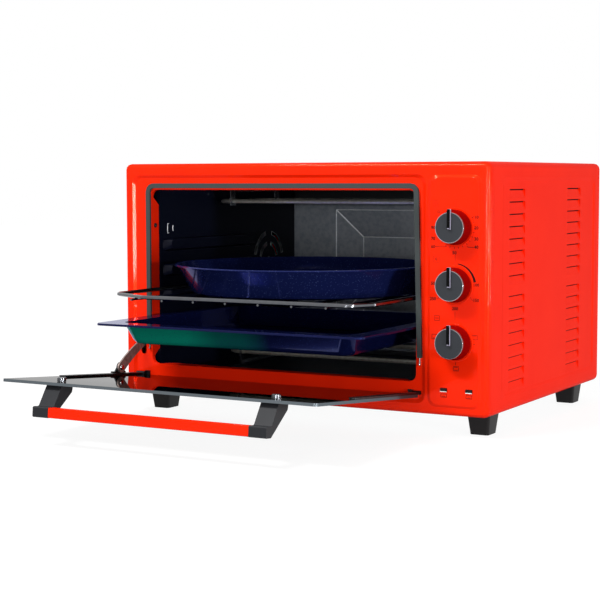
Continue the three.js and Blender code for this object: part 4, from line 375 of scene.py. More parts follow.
# %% [markdown]
# The solid model's faces are flat, so its curves are made of short facets. Smooth shading hides the
# facets, but the real edges have to stay crisp, and one angle can't tell the two apart: a pressed
# step in sheet metal is as shallow as a facet of a curve. It always meets a face that is square to
# the oven, though, so such edges get a lower limit of their own. The louvres' tongues are shallower
# still and are picked by their slope.

# %% Which edges stay crisp
CRISP_ABOVE, PRESSED_ABOVE = 38, 16.5    # degrees, for any edge and for one at a square face
SQUARE = 0.9995        # the largest part of a normal that counts as square to the oven
ANY_SQUARE = 0.25      # an edge takes the mean of its two faces, so one square face gives 0.5
LOUVRE_DEPTH, LOUVRE_HEIGHT = 3.2, 12.5  # mm that a louvre's tongue goes in over its height
TONGUE_ANGLE = math.atan2(LOUVRE_DEPTH, LOUVRE_HEIGHT)
TONGUE_SPREAD = math.radians(0.4)


def crisp_edges(tree):
    """The socket that picks sharp edges, and pressed ones beside a square face."""
    angle = add(tree, "GeometryNodeInputMeshEdgeAngle").outputs["Unsigned Angle"]
    sharp = add(tree, "FunctionNodeCompare", {0: angle, 1: math.radians(CRISP_ABOVE)},
                operation="GREATER_THAN")
    parts = add(tree, "ShaderNodeSeparateXYZ", {"Vector": add(
        tree, "ShaderNodeVectorMath", {0: add(tree, "GeometryNodeInputNormal").outputs[0]},
        operation="ABSOLUTE").outputs[0]})
    across = add(tree, "ShaderNodeMath", {0: parts.outputs["X"], 1: parts.outputs["Y"]},
                 operation="MAXIMUM")
    largest = add(tree, "ShaderNodeMath", {0: across.outputs[0], 1: parts.outputs["Z"]},
                  operation="MAXIMUM")
    square = add(tree, "ShaderNodeMath", {0: largest.outputs[0], 1: SQUARE},
                 operation="GREATER_THAN")
    at_faces = add(tree, "GeometryNodeFieldOnDomain", {0: square.outputs[0]}, domain="FACE",
                   data_type="FLOAT")
    beside = add(tree, "FunctionNodeCompare", {0: at_faces.outputs[0], 1: ANY_SQUARE},
                 operation="GREATER_THAN")
    bent = add(tree, "FunctionNodeCompare", {0: angle, 1: math.radians(PRESSED_ABOVE)},
               operation="GREATER_THAN")
    off = add(tree, "ShaderNodeMath", {0: angle, 1: TONGUE_ANGLE}, operation="SUBTRACT")
    miss = add(tree, "ShaderNodeMath", {0: off.outputs[0]}, operation="ABSOLUTE")
    tongue = add(tree, "FunctionNodeCompare", {0: miss.outputs[0], 1: TONGUE_SPREAD},
                 operation="LESS_THAN")
    pressed = add(tree, "FunctionNodeBooleanMath", {0: bent.outputs[0], 1: tongue.outputs[0]},
                  operation="OR")
    step = add(tree, "FunctionNodeBooleanMath", {0: beside.outputs[0], 1: pressed.outputs[0]},
               operation="AND")
    return add(tree, "FunctionNodeBooleanMath", {0: step.outputs[0], 1: sharp.outputs[0]},
               operation="OR").outputs[0]


print("a louvre's tongue slopes by", round(math.degrees(TONGUE_ANGLE), 1), "degrees")

# %% [markdown]
# A small modifier does the shading. It joins the corners that touch, drops the flat normals that
# the file stored, shades every face smooth and then marks the crisp edges. A second modifier lets
# large flat faces decide the normals at their corners, or a round edge would bend the light on the
# whole face. Both change how light rolls over the surface and leave the shape as it is.

# %% Soft edges
MERGE = 0.001 * MM     # corners closer than about this are one
FLAT_WEIGHT = 90       # of 100, where 50 weighs all faces alike

soft_edges = bpy.data.node_groups.new(f"smooth_below_{CRISP_ABOVE}_degrees", "GeometryNodeTree")
for way in ("INPUT", "OUTPUT"):
    soft_edges.interface.new_socket("Geometry", in_out=way, socket_type="NodeSocketGeometry")
source = add(soft_edges, "NodeGroupInput")
joined = add(soft_edges, "GeometryNodeMergeByDistance", {"Geometry": source.outputs[0],
                                                         "Distance": 2 * MERGE})
plain = add(soft_edges, "GeometryNodeRemoveAttribute", {"Geometry": joined.outputs[0],
                                                        "Name": "custom_normal"})
soft = add(soft_edges, "GeometryNodeSetShadeSmooth", {"Geometry": plain.outputs[0],
                                                      "Shade Smooth": True}, domain="FACE")
kept = add(soft_edges, "GeometryNodeSetShadeSmooth", {"Geometry": soft.outputs[0],
                                                      "Selection": crisp_edges(soft_edges),
                                                      "Shade Smooth": False}, domain="EDGE")
add(soft_edges, "NodeGroupOutput", {0: kept.outputs[0]})


def soften(made):
    """Gives an object soft edges, with normals that its largest flat faces decide."""
    made.modifiers.new("soft_edges", "NODES").node_group = soft_edges
    flats = made.modifiers.new("flats_stay_flat", "WEIGHTED_NORMAL")
    flats.weight, flats.keep_sharp = FLAT_WEIGHT, True


print("soft edges use", len(soft_edges.nodes), "nodes")

# %% [markdown]
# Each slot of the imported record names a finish. The table below pairs them with the materials made
# above, and every piece takes the one that its slot asks for. A few pieces share a slot with others
# and still look different on the real oven, so they have a finish of their own.

# %% Give every piece its finish
FINISH_OF = {
    "body_paint": body_paint, "bar_paint": bar_paint, "plated_steel": plated_steel,
    "hinge_steel": hinge_steel, "arm_steel": arm_steel, "bright_steel": bright_steel,
    "rack_wire": rack_wire, "heater_sheath": heater_sheath, "cavity_enamel": cavity_enamel,
    "ware_enamel": dish_enamel, "door_glass": door_glass, "gasket": gasket,
    "black_plastic": black_plastic, "knob_plastic": knob_skirt, "knob_face": knob_cap,
    "lamp_lens": lamp_lens, "control_moulding": control_moulding,
}
OWN_FINISH = {"cavity_back": back_steel, "baking_tray": tray_enamel,
              "handle_bracket_left": bracket_plastic, "handle_bracket_right": bracket_plastic,
              "handle_bush_left": rack_wire, "handle_bush_right": rack_wire}
for name, node in NODES.items():
    for place in node.material_slots:
        place.material = OWN_FINISH.get(name, FINISH_OF[place.material.name])
    soften(node)
used = {place.material.name for node in NODES.values() for place in node.material_slots}
print("finished", len(NODES), "pieces with", len(used), "materials")

# %% [markdown]
# The solid model holds the working pieces. What follows is the small trim that sits on them: pressed
# rings, print, bright edges and screws. Each is drawn as a mesh with bmesh, Blender's mesh workshop,
# then given a finish, a body to ride on and the same soft shading. Three helpers cover most of it:
# one turns a drawn mesh into a finished piece, one spins a profile round an axis as a lathe does,
# and one draws a straight bar from its end outlines.

# %% From a drawn mesh to a finished piece
ROUND_STEPS = 48


def piece(name, shape, body, slot, *coats):
    """Makes an object of a drawn mesh: its finishes, its body and its soft shading."""
    mesh = bpy.data.meshes.new(name)
    shape.to_mesh(mesh)
    shape.free()
    for coat in coats:
        mesh.materials.append(coat)
    made = bpy.data.objects.new(name, mesh)
    bpy.context.scene.collection.objects.link(made)
    soften(made)
    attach(made, body)
    return made


def spin(shape, profile, centre, along):
    """Adds a body of revolution: a profile of (radius, distance) in mm about an axis."""
    turn = Vector(along).to_track_quat("Z", "X").to_matrix()
    points = [shape.verts.new(turn @ Vector((r, 0, d)) * MM + Vector(centre)) for r, d in profile]
    edges = [shape.edges.new(pair) for pair in zip(points, points[1:])]
    bmesh.ops.spin(shape, geom=points + edges, cent=centre, axis=along, angle=2 * math.pi,
                   steps=ROUND_STEPS, use_merge=True)
    bmesh.ops.remove_doubles(shape, verts=shape.verts, dist=MERGE)
    bmesh.ops.recalc_face_normals(shape, faces=shape.faces)


def prism(shape, first, last):
    """Adds a closed bar between two end outlines with the same number of corners."""
    ends = [[shape.verts.new(place) for place in outline] for outline in (first, last)]
    for i in range(len(first)):
        j = (i + 1) % len(first)
        shape.faces.new((ends[0][i], ends[0][j], ends[1][j], ends[1][i]))
    shape.faces.new(ends[0])
    shape.faces.new(ends[1][::-1])
    bmesh.ops.recalc_face_normals(shape, faces=shape.faces)


print("three helpers for trim")

# %% [markdown]
# Round each knob the steel panel has a narrow ring pressed outwards, a little wider than the knob. It
# hides how far the knob stands off the panel, and its crest catches the lamps as a thin pale arc. It
# could be a bump in the paint, but a real ridge keeps its highlight from every side.

# %% Pressed rings round the knobs
RING_RADIUS, RING_WIDTH, RING_HEIGHT = 25.2, 2.0, 0.7    # mm
RING_SUNK = 0.02       # mm that its feet stand in the panel
RING_POINTS = 8

PANEL_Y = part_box("front_frame")[0][1]
CONTROLS = ("timer", "thermostat", "mode")
low_high = {name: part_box(name + "_shaft") for name in CONTROLS}
KNOB_AT = {name: ((low[0] + high[0]) / 2, (low[2] + high[2]) / 2)
           for name, (low, high) in low_high.items()}
FORWARD = Vector((0, -1, 0))

crest = [(RING_RADIUS - RING_WIDTH / 2 * math.cos(math.pi * i / RING_POINTS),
          RING_HEIGHT * math.sin(math.pi * i / RING_POINTS) - RING_SUNK)
         for i in range(RING_POINTS + 1)]
for name, (x, z) in KNOB_AT.items():
    shape = bmesh.new()
    spin(shape, crest, (x, PANEL_Y, z), FORWARD)
    piece(name + "_panel_ring", shape, "cabinet", "body_paint", body_paint)
print("rings at", [(round(x / MM, 1), round(z / MM, 1)) for x, z in KNOB_AT.values()])

# %% [markdown]
# Each knob is closed by a dark cap with a polished edge, and the cap carries the pointer: a bar with
# a black face, a pale right flank and a small pale mark at its foot. The flank's paleness is painted
# light, for the side that the lamps catch, and the mark is a painted highlight on the bar's foot.
# The flank could be found by a node, but the bar has few faces, so each one simply gets one of two
# finishes. The cap's edge is a ring of its own, as on the real knob, where it is a turned insert: its
# sharp bright line is what the eye finds first.

# %% Bright edges and pointers of the knobs
POINTER_PROUD, POINTER_HALF, POINTER_UP = 3.0, 2.3, 24.5     # mm, as on the solid cap
SKIN = 0.12            # mm that trim stands off the solid it covers
EDGE_WIDTH, EDGE_DEPTH = 0.75, 1.3
TIP_BEVEL = 0.35
# the pale mark is a painted highlight
MARK_HALF, MARK_TALL, MARK_UP = 1.6, 0.7, 0.9     # a pale mark on the foot of the pointer
FACES_FRONT, FACES_LEFT = -0.9, -0.3              # how far a face must look that way

black_face = moulded("black_pointer_face", "060607", 0.3, 0.5, 0.01, 0.06)
# the pale right flank is painted light
pointer_flank_painted_light = moulded("pointer_flank_light_paint", "A8A3B8", 0.35, 0.5, 0.01)    # matt silver print


def pointer(shape, x, z, face):
    """A bevelled bar from the cap's centre past its edge; its front and left have the first coat."""
    wide = POINTER_HALF + SKIN
    size = (2 * wide, POINTER_PROUD + SKIN, POINTER_UP + wide + SKIN)
    middle = Vector((x, face, z)) + Vector((0, -size[1] / 2, (POINTER_UP + SKIN - wide) / 2)) * MM
    place = Matrix.Translation(middle) @ Matrix.Diagonal((*(s * MM for s in size), 1))
    verts = bmesh.ops.create_cube(shape, size=1, matrix=place)["verts"]
    edges = {edge for vert in verts for edge in vert.link_edges}
    bmesh.ops.bevel(shape, geom=list(edges), offset=TIP_BEVEL * MM, segments=2, affect="EDGES",
                    profile=0.5)
    shape.normal_update()
    for side in shape.faces:
        dark = side.normal.y < FACES_FRONT or side.normal.x < FACES_LEFT
        side.material_index = 0 if dark else 1
    front, foot = face - (POINTER_PROUD + 2 * SKIN) * MM, z - (wide - MARK_UP) * MM
    foot_highlight = [shape.verts.new((x + s * MARK_HALF * MM, front, foot + up * MM))
            for s, up in ((-1, 0), (1, 0), (1, MARK_TALL), (-1, MARK_TALL))]
    shape.faces.new(foot_highlight).material_index = 1


for name, (x, z) in KNOB_AT.items():
    low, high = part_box(name + "_knob_cap")
    face = low[1] + POINTER_PROUD * MM
    radius = (high[0] - low[0]) / 2 / MM
    body = name + "_control"
    shape = bmesh.new()
    spin(shape, [(radius - EDGE_WIDTH, -SKIN), (radius - EDGE_WIDTH, SKIN),
                 (radius, SKIN), (radius + SKIN, -SKIN), (radius + SKIN, -EDGE_DEPTH)],
         (x, face, z), FORWARD)
    piece(name + "_cap_edge", shape, body, "bright_steel", bright_steel)
    shape = bmesh.new()
    pointer(shape, x, z, face)
    piece(name + "_pointer", shape, body, "knob_face", black_face, pointer_flank_painted_light)
print("cap faces at y =", round(face / MM, 1), "mm, radius", round(radius, 1), "mm")

# %% [markdown]
# The panel is screen printed: black ink pushed through a mesh, a few hundredths of a millimetre
# thick. It carries plain figures, ticks and small signs round the dials. It could be an image, but
# flat sheets just off the panel stay sharp at any distance. These are made of straight strokes with a
# width and of arcs that may swell. All places are measured from the middle of a dial, in millimetres.

# %% Pens for the print
INK_LIFT = 0.06                          # mm off the panel
PEN, LEADER, HAIR = 0.6, 0.35, 0.3       # mm: the usual stroke, and two thinner ones

ink = moulded("black_screen_ink", "1C0A08", 0.5, 0.5, 0.01, 0.08)
print_sheet = bmesh.new()


def on_panel(at, x, z):
    """A corner of the print, x and z mm from a place on the panel."""
    return print_sheet.verts.new((at[0] + x * MM, PANEL_Y - INK_LIFT * MM, at[1] + z * MM))


def stroke(at, a, b, width=PEN):
    """A straight stroke from a to b."""
    (x0, z0), (x1, z1) = a, b
    length = math.hypot(x1 - x0, z1 - z0)
    nx, nz = (z0 - z1) / length * width / 2, (x1 - x0) / length * width / 2
    print_sheet.faces.new([on_panel(at, x, z) for x, z in (
        (x0 - nx, z0 - nz), (x1 - nx, z1 - nz), (x1 + nx, z1 + nz), (x0 + nx, z0 + nz))])


def strokes(at, *points, width=PEN):
    """One line through several points."""
    for a, b in zip(points, points[1:]):
        stroke(at, a, b, width)


def arc(at, radius, start, end, width, last_width, steps=16):
    """An arc, in degrees clockwise from the top, whose width swells from start to end."""
    def edge(i, side):
        angle = math.radians(start + (end - start) * i / steps)
        reach = radius + side * (width + (last_width - width) * i / steps) / 2
        return reach * math.sin(angle), reach * math.cos(angle)
    for i in range(steps):
        corners = (edge(i, -1), edge(i, 1), edge(i + 1, 1), edge(i + 1, -1))
        print_sheet.faces.new([on_panel(at, x, z) for x, z in corners])


print("pens ready, panel at y =", round(PANEL_Y / MM, 2), "mm")

# %% [markdown]
# Signs and figures need more than one stroke. A small frame is one line through four corners. A
# figure could be drawn with strokes as well, but Blender's own font has better ones: a text object
# is made, its flat mesh is taken and moved to the panel, and the text object is thrown away.

# %% Signs and figures
FIGURE_HEIGHT = 4.1
FIGURE_WEIGHT = 0.15   # mm added all round to the font's thin figures
FONT_SHARE = 0.69      # height of a figure in Blender's font, as a share of its size


def frame_sign(at, x, z, width, height, pen=PEN):
    """An upright rectangle drawn as an outline, about a middle."""
    w, h = width / 2, height / 2
    strokes(at, (x - w, z - h), (x + w, z - h), (x + w, z + h), (x - w, z + h), (x - w, z - h),
            width=pen)


def figures(at, words, x, z, height=FIGURE_HEIGHT):
    """Figures about a middle, taken from Blender's own font as a flat mesh."""
    text = bpy.data.curves.new("figures", "FONT")
    text.body, text.size, text.resolution_u = words, height / FONT_SHARE, 2
    text.offset = FIGURE_WEIGHT
    text.align_x, text.align_y = "CENTER", "CENTER"
    holder = bpy.data.objects.new("figures", text)
    bpy.context.scene.collection.objects.link(holder)
    graph = bpy.context.evaluated_depsgraph_get()
    flat = bpy.data.meshes.new_from_object(holder.evaluated_get(graph))
    bpy.data.objects.remove(holder)
    corners = [on_panel(at, x + v.co.x, z + v.co.y) for v in flat.vertices]
    for polygon in flat.polygons:
        print_sheet.faces.new([corners[i] for i in polygon.vertices])
    bpy.data.meshes.remove(flat)


print("figures are", FIGURE_HEIGHT, "mm high")

# %% [markdown]
# The timer counts minutes round its dial. Figures stand in two columns beside it and one stands under
# it, with thin leaders where they are far from it. A formula could space them evenly, but the real
# ones follow a drawing, so their places are typed in as they show.

# %% Print round the timer's dial
COLUMN, RIGHT_COLUMN = 32.0, 30.2    # mm from a dial's middle to its columns of figures
TICK_FROM, TICK_TO = 25.6, 28.4
TIMER_TICKS = (62, 76, 92, 104, 117, 131, 143, 157, 170, 182, 196, 210, 224, 238, 252, 266)
SQUARE_SIGN = 8.4                    # side of the signs that say what a dial sets

timer, thermostat, mode = (KNOB_AT[name] for name in CONTROLS)
for words, x, z in (("10", RIGHT_COLUMN, 13.5), ("20", RIGHT_COLUMN, -0.5),
                    ("30", RIGHT_COLUMN, -15.1), ("40", RIGHT_COLUMN, -25.9),
                    ("50", -1, -33.9), ("60", -COLUMN, -26.2),
                    ("70", -COLUMN, -15.5), ("90", -COLUMN, -0.9)):
    figures(timer, words, x, z)
for degrees in TIMER_TICKS:
    s, c = math.sin(math.radians(degrees)), math.cos(math.radians(degrees))
    stroke(timer, (TICK_FROM * s, TICK_FROM * c), (TICK_TO * s, TICK_TO * c))
# leaders to the far figures
strokes(timer, (23.4, 13.2), (25.0, 14.2), (26.8, 14.2))
strokes(timer, (17.0, -24.6), (18.8, -26.0), (26.8, -26.0))
strokes(timer, (-12.0, -24.6), (-14.0, -26.1), (-29.0, -26.1))
# a dashed line and an upright one over the dial, and a clock sign with a ring below it
for x in range(10, 30, 3):
    stroke(timer, (x, 24.7), (x + 1.6, 24.7), HAIR)
stroke(timer, (0, 27.0), (0, 34.0), HAIR)
frame_sign(timer, -28.3, 31.2, SQUARE_SIGN, SQUARE_SIGN, HAIR)
arc((timer[0] - 28.3 * MM, timer[1] + 31.2 * MM), 2.4, 0, 360, HAIR, HAIR)
strokes(timer, (-28.3, 32.9), (-28.3, 31.2), (-27.0, 30.6), width=HAIR)
arc((timer[0] - 24.1 * MM, timer[1] + 20.6 * MM), 1.5, 0, 360, 0.4, 0.4)
print("timer printed with", len(TIMER_TICKS), "ticks")

# %% [markdown]
# The thermostat's dial counts degrees, with an arc that swells as the heat grows. The third dial has
# a sign for each way of heating: a frame with a bar below, above, or both. The same pens draw them.

# %% Print round the other dials
ARC_RADIUS, ARC_FROM, ARC_TO, ARC_THIN, ARC_THICK = 28.6, 7, 81, 1.3, 3.6
SIGN = (7.6, 6.2)                    # width and height of a heating sign
SIGN_PEN, BAR_PEN = 0.55, 0.7        # its frame, and the bars in it that stand for heaters
BAR_HALF, BAR_UP = 2.6, 1.9

for words, x, z in (("100", RIGHT_COLUMN, 0.9), ("150", RIGHT_COLUMN, -19.4),
                    ("200", 0.2, -31.5), ("250", -COLUMN, -19.4), ("50", -COLUMN, 1.3)):
    figures(thermostat, words, x, z)
arc(thermostat, ARC_RADIUS, ARC_FROM, ARC_TO, ARC_THIN, ARC_THICK)
strokes(thermostat, (22.0, -15.0), (23.6, -18.6), (26.0, -19.4), width=LEADER)
strokes(thermostat, (-22.4, -15.0), (-24.6, -19.0), (-27.2, -19.4), width=LEADER)
stroke(thermostat, (0, 27.5), (0, 41.0), LEADER)
frame_sign(thermostat, -27.1, 34.0, SQUARE_SIGN, SQUARE_SIGN, HAIR)
figures(thermostat, "C", -27.1, 34.0, 3.2)

for x, z, bars in ((-29.4, 6.7, (-1,)), (28.6, 8.3, (1,)), (2.1, -34.9, (-1, 1)),
                   (-26.1, 31.8, (0,))):
    frame_sign(mode, x, z, *SIGN, SIGN_PEN)
    for bar in bars:
        stroke(mode, (x - BAR_HALF, z + bar * BAR_UP), (x + BAR_HALF, z + bar * BAR_UP), BAR_PEN)
stroke(mode, (26.6, -1.6), (29.4, -0.6))
stroke(mode, (1.2, -25.6), (1.5, -30.4))
stroke(mode, (0.2, 29.8), (0.2, 41.5), LEADER)
print("print has", len(print_sheet.faces), "faces")

# %% [markdown]
# The two pilot lamps are slots with a smoked lens. The lower third of each lens is slanted, and it
# shows as a white line under a dark one. A mirror-like lens could do that by its reflection, but it
# would change with the view, so the slant is a pale strip: a painted highlight. A small frame is
# printed below each lamp.

# %% Pilot lamps
LENS_SHARE = 0.31                  # of the lens's height that the pale lower strip takes
STRIP_HALF, STRIP_SKIN = 4.6, 0.05     # mm: half its width, and how far it stands off the lens
SLANT_DEPTH = 1.0
LIP_FRONT, LIP_BACK = 1.5, 1.2         # mm above the lens's foot

# the pale strip on each lens is a painted highlight
lens_painted_highlight = moulded("pale_lens_painted_highlight", "F2F0EE", 0.3, 1.0, 0.01)
for side in ("left", "right"):
    low, high = (Vector(corner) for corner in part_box("pilot_lamp_" + side))
    wide, top = STRIP_HALF * MM, low.z + LENS_SHARE * (high.z - low.z)
    middle = (low.x + high.x) / 2
    front = low.y - STRIP_SKIN * MM
    back = front + SLANT_DEPTH * MM
    section = ((front, top), (front, low.z + LIP_FRONT * MM), (back, low.z + LIP_BACK * MM),
               (back, top))
    shape = bmesh.new()
    prism(shape, *([(middle + s * wide, y, z) for y, z in section] for s in (-1, 1)))
    piece("lens_highlight_" + side, shape, "cabinet", "lamp_lens", lens_painted_highlight)
    frame_sign((middle, low.z), 0, -3.6, SQUARE_SIGN, SQUARE_SIGN / 2)
    stroke((middle, low.z), (-2.4, -4.4), (2.4, -4.4))
piece("panel_print", print_sheet, "cabinet", "black_plastic", ink)
print("lamps and print done")

# %% [markdown]
# Sheet-metal screws hold the rear cover. A pan head is spun from its profile, and a cross is cut into
# it with a boolean, which is how a real head gets its cross too: by a punch of that shape. One head
# is made and then used again for every screw.

# %% One screw head
HEAD_RADIUS, HEAD_HEIGHT = 3.2, 2.0        # mm
CROSS_LENGTH, CROSS_WIDTH, CROSS_DEPTH = 3.6, 0.9, 1.3


def screw_head():
    """The mesh of a pan head at the origin that looks along +Z."""
    rise = [(HEAD_RADIUS, 0.0), (HEAD_RADIUS, 0.5), (HEAD_RADIUS * 0.86, 1.3),
            (HEAD_RADIUS * 0.5, 1.85), (0.0, HEAD_HEIGHT)]
    shape = bmesh.new()
    spin(shape, [(0.0, 0.0), *rise], (0, 0, 0), (0, 0, 1))
    head = bpy.data.meshes.new("screw_head")
    shape.to_mesh(head)
    shape.clear()
    for size in ((CROSS_LENGTH, CROSS_WIDTH), (CROSS_WIDTH, CROSS_LENGTH)):
        place = Matrix.Translation((0, 0, HEAD_HEIGHT * MM)) @ Matrix.Diagonal(
            (size[0] * MM, size[1] * MM, 2 * CROSS_DEPTH * MM, 1))
        bmesh.ops.create_cube(shape, size=1, matrix=place)
    punch = bpy.data.meshes.new("punch")
    shape.to_mesh(punch)
    shape.free()
    held = [bpy.data.objects.new(mesh.name, mesh) for mesh in (head, punch)]
    for thing in held:
        bpy.context.scene.collection.objects.link(thing)
    cut = held[0].modifiers.new("cross", "BOOLEAN")
    cut.object, cut.operation, cut.use_self = held[1], "DIFFERENCE", True
    graph = bpy.context.evaluated_depsgraph_get()
    punched = bpy.data.meshes.new_from_object(held[0].evaluated_get(graph))
    for thing in held:
        bpy.data.objects.remove(thing)
    punched.materials.clear()
    return punched


HEAD = screw_head()
print("screw head with", len(HEAD.polygons), "faces")

# %% [markdown]
# The rear cover is held along its four edges, close to its corners and between them, as such covers
# are. The heads are placed from the cover's own box, so they stay on it if its size changes. They
# are copied into one mesh, because they are all alike and ride on the same body.

# %% Screws of the rear cover
REAR_EDGE_MM = 14

low, high = (Vector(corner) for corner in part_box("rear_cover"))
inset = REAR_EDGE_MM * MM
columns = [low.x + inset, (low.x + high.x) / 2, high.x - inset]
rows = [low.z + inset, (low.z + high.z) / 2, high.z - inset]
rear = [Vector((x, high.y, z)) for x in columns for z in rows if (x, z) != (columns[1], rows[1])]
turn = Vector((0, 1, 0)).to_track_quat("Z", "X").to_matrix().to_4x4()
shape = bmesh.new()
for seat in rear:
    before = len(shape.verts)
    shape.from_mesh(HEAD)
    shape.verts.ensure_lookup_table()
    bmesh.ops.transform(shape, matrix=Matrix.Translation(seat) @ turn, verts=shape.verts[before:])
piece("rear_screws", shape, "cabinet", "hinge_steel", hinge_steel)
print(len(rear), "screws on the rear cover")

# %% [markdown]
# One blind rivet shows on the left side of the oven's mouth: a dark head with the bright end of its
# pin in the middle. Its height and depth come from the picture. Its third measure could be typed in
# too, but a ray sent to the left from the oven's middle finds the sheet, so that the rivet can't
# hang in the air.

# %% Rivet in the mouth
RIVET_RADIUS, RIVET_HEIGHT, RIVET_PIN = 3.6, 1.2, 1.2    # mm
RIVET_BEHIND_PANEL, RIVET_UP = 15.0, 279.0
INWARD = Vector((1, 0, 0))


def seat_on(node, start, towards):
    """The place where a ray from start first meets a solid piece."""
    met, place, _, _ = NODES[node].ray_cast(start, towards)
    print(node, "met:", met, [round(c / MM, 1) for c in place])
    return place


seat = seat_on("front_frame", Vector((0, PANEL_Y + RIVET_BEHIND_PANEL * MM, RIVET_UP * MM)), -INWARD)
shape = bmesh.new()
spin(shape, [(0.0, 0.8 * RIVET_HEIGHT), (RIVET_PIN, RIVET_HEIGHT), (RIVET_PIN, 0.7 * RIVET_HEIGHT),
             (0.8 * RIVET_RADIUS, RIVET_HEIGHT), (RIVET_RADIUS, 0.0)], seat, INWARD)
for part in shape.faces:
    part.material_index = int((part.calc_center_median() - seat).cross(INWARD).length
                              < RIVET_PIN * MM)
piece("mouth_rivet", shape, "cabinet", "bright_steel", black_plastic, bright_steel)

# %% [markdown]
# The sides of the cover have two columns of louvres. Each is a tongue pushed inwards below a slit,
# and the slit is dark because it opens into the unlit body. A narrow dark strip at the top of every
# tongue is painted shade for that mouth. Its places follow from the cover's box and the louvres' own
# sizes.

# %% Painted shade in the mouths of the louvres
SIDE_SUNK, LOUVRE_LENGTH = 1.6, 58            # mm; the side's middle is pressed in by the first
LOUVRE_PITCH, LOUVRE_COUNT, GROUP_GAP, TOP_MARGIN = 16.75, 8, 27.8, 37
FRONT_COLUMN, REAR_COLUMN = 61.7, 148         # from the cover's front and back ends
MOUTH_HEIGHT, MOUTH_TOP, MOUTH_END = 1.7, 0.05, 0.5
MOUTH_OUT, MOUTH_IN = 0.1, -0.4               # from the tongue's face

# the dark strips are painted shade in the louvres' slits
louvre_painted_shade = moulded("painted_louvre_shade", "0C0303", 0.9, 2.0, 0.01, 0.05)
low, high = (Vector(corner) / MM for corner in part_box("outer_cover"))
slits = [high.z - TOP_MARGIN - group * ((LOUVRE_COUNT - 1) * LOUVRE_PITCH + GROUP_GAP)
         - i * LOUVRE_PITCH for group in (0, 1) for i in range(LOUVRE_COUNT)]
shape = bmesh.new()
for side, wall in ((-1, low.x), (1, high.x)):
    for start in (low.y + FRONT_COLUMN, high.y - REAR_COLUMN):
        for slit in slits:
            section = []
            for z, skin in ((slit - MOUTH_HEIGHT, MOUTH_OUT), (slit - MOUTH_TOP, MOUTH_OUT),
                            (slit - MOUTH_TOP, MOUTH_IN), (slit - MOUTH_HEIGHT, MOUTH_IN)):
                sunk = SIDE_SUNK + LOUVRE_DEPTH * (z - slit + LOUVRE_HEIGHT) / LOUVRE_HEIGHT
                section.append((wall - side * (sunk - skin), z))
            prism(shape, *([(x * MM, y * MM, z * MM) for x, z in section]
                           for y in (start + MOUTH_END, start + LOUVRE_LENGTH - MOUTH_END)))
piece("louvre_shade_strips", shape, "cabinet", "black_plastic", louvre_painted_shade)
print(4 * len(slits), "louvre mouths")

# %% [markdown]
# Inside the cavity three things carry painted highlights: the creases of the stamped back wall, the
# rims of the fan's grille on the left wall, and a small clip near the mouth. A crease in real sheet
# has a radius of a millimetre or so, and the solid model's crease has none. A bevel of the mesh would
# change the model, so a curve with a round section lies along each edge instead. The curves are paler
# than the sheet they lie on, and that paleness is a painted highlight. Two helpers do the work: one
# draws such curves, and one finds the edges of a solid piece that pass a test.

# %% Round beads along edges


def beads(name, lines, radius, coat):
    """Round beads along lines of points, as one curve with a thickness, fixed to the cabinet."""
    path = bpy.data.curves.new(name, "CURVE")
    path.dimensions, path.bevel_depth, path.bevel_resolution = "3D", radius * MM, 2
    path.use_fill_caps = True
    for line in lines:
        run = path.splines.new("POLY")
        run.points.add(len(line) - 1)
        for point, place in zip(run.points, line):
            point.co = (*place, 1)
    path.materials.append(coat)
    made = bpy.data.objects.new(name, path)
    bpy.context.scene.collection.objects.link(made)
    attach(made, "cabinet")
    print(name, "with", len(lines), "lines")


def edges_of(node, wanted):
    """Both ends of each edge of a solid piece that a test accepts."""
    shape = bmesh.new()
    shape.from_mesh(NODES[node].data)
    bmesh.ops.remove_doubles(shape, verts=shape.verts, dist=2 * MERGE)
    found = [[corner.co.copy() for corner in edge.verts] for edge in shape.edges
             if len(edge.link_faces) == 2 and wanted(edge)]
    shape.free()
    return found


print("two helpers for beads")

# %% [markdown]
# The back wall's creases run between faces that all look out of the cavity, each at its own slope.
# The grille's rims are sharp edges on the left wall's inner face, near the fan's axis. Both could be
# listed by hand, but a test finds them wherever the model puts them. A ray finds the inner face.

# %% Painted highlights on creases and grille rims
BACK_BEAD, RIM_BEAD = 1.0, 0.45                        # radii in mm
CREASE_LEAST, RIM_LEAST = math.radians(5), math.radians(80)
LOOKS_OUT = -0.9                                       # the part of a face's normal along Y
GRILLE_REACH, ABOVE_FAN = 58, 30                       # mm from the fan's axis, and above the fan
SAME_FACE = 0.1                                        # mm


def back_crease(edge):
    """An edge between two faces that both look out of the cavity."""
    return (edge.calc_face_angle() > CREASE_LEAST
            and all(face.normal.y < LOOKS_OUT for face in edge.link_faces))


fan_low, fan_high = (Vector(corner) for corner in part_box("fan_wheel"))
fan_axis = (fan_low + fan_high) / 2
wall_x = seat_on("cavity_left_wall", Vector((0, fan_axis.y, fan_high.z + ABOVE_FAN * MM)),
                 -INWARD).x


def grille_rim(edge):
    """A sharp edge on the wall's inner face, within reach of the fan's axis."""
    ends = [corner.co - fan_axis for corner in edge.verts]
    return (edge.calc_face_angle() > RIM_LEAST
            and all(abs(end.x + fan_axis.x - wall_x) < SAME_FACE * MM for end in ends)
            and all(math.hypot(end.y, end.z) < GRILLE_REACH * MM for end in ends))


# the beads' pale steel on the grey wall is a painted highlight
beads("back_wall_crease_highlights", edges_of("cavity_back", back_crease), BACK_BEAD, crease_highlight_steel)
# the pale zinc rims on the black enamel wall are a painted highlight
beads("grille_rim_highlights", edges_of("cavity_left_wall", grille_rim), RIM_BEAD, plated_steel)

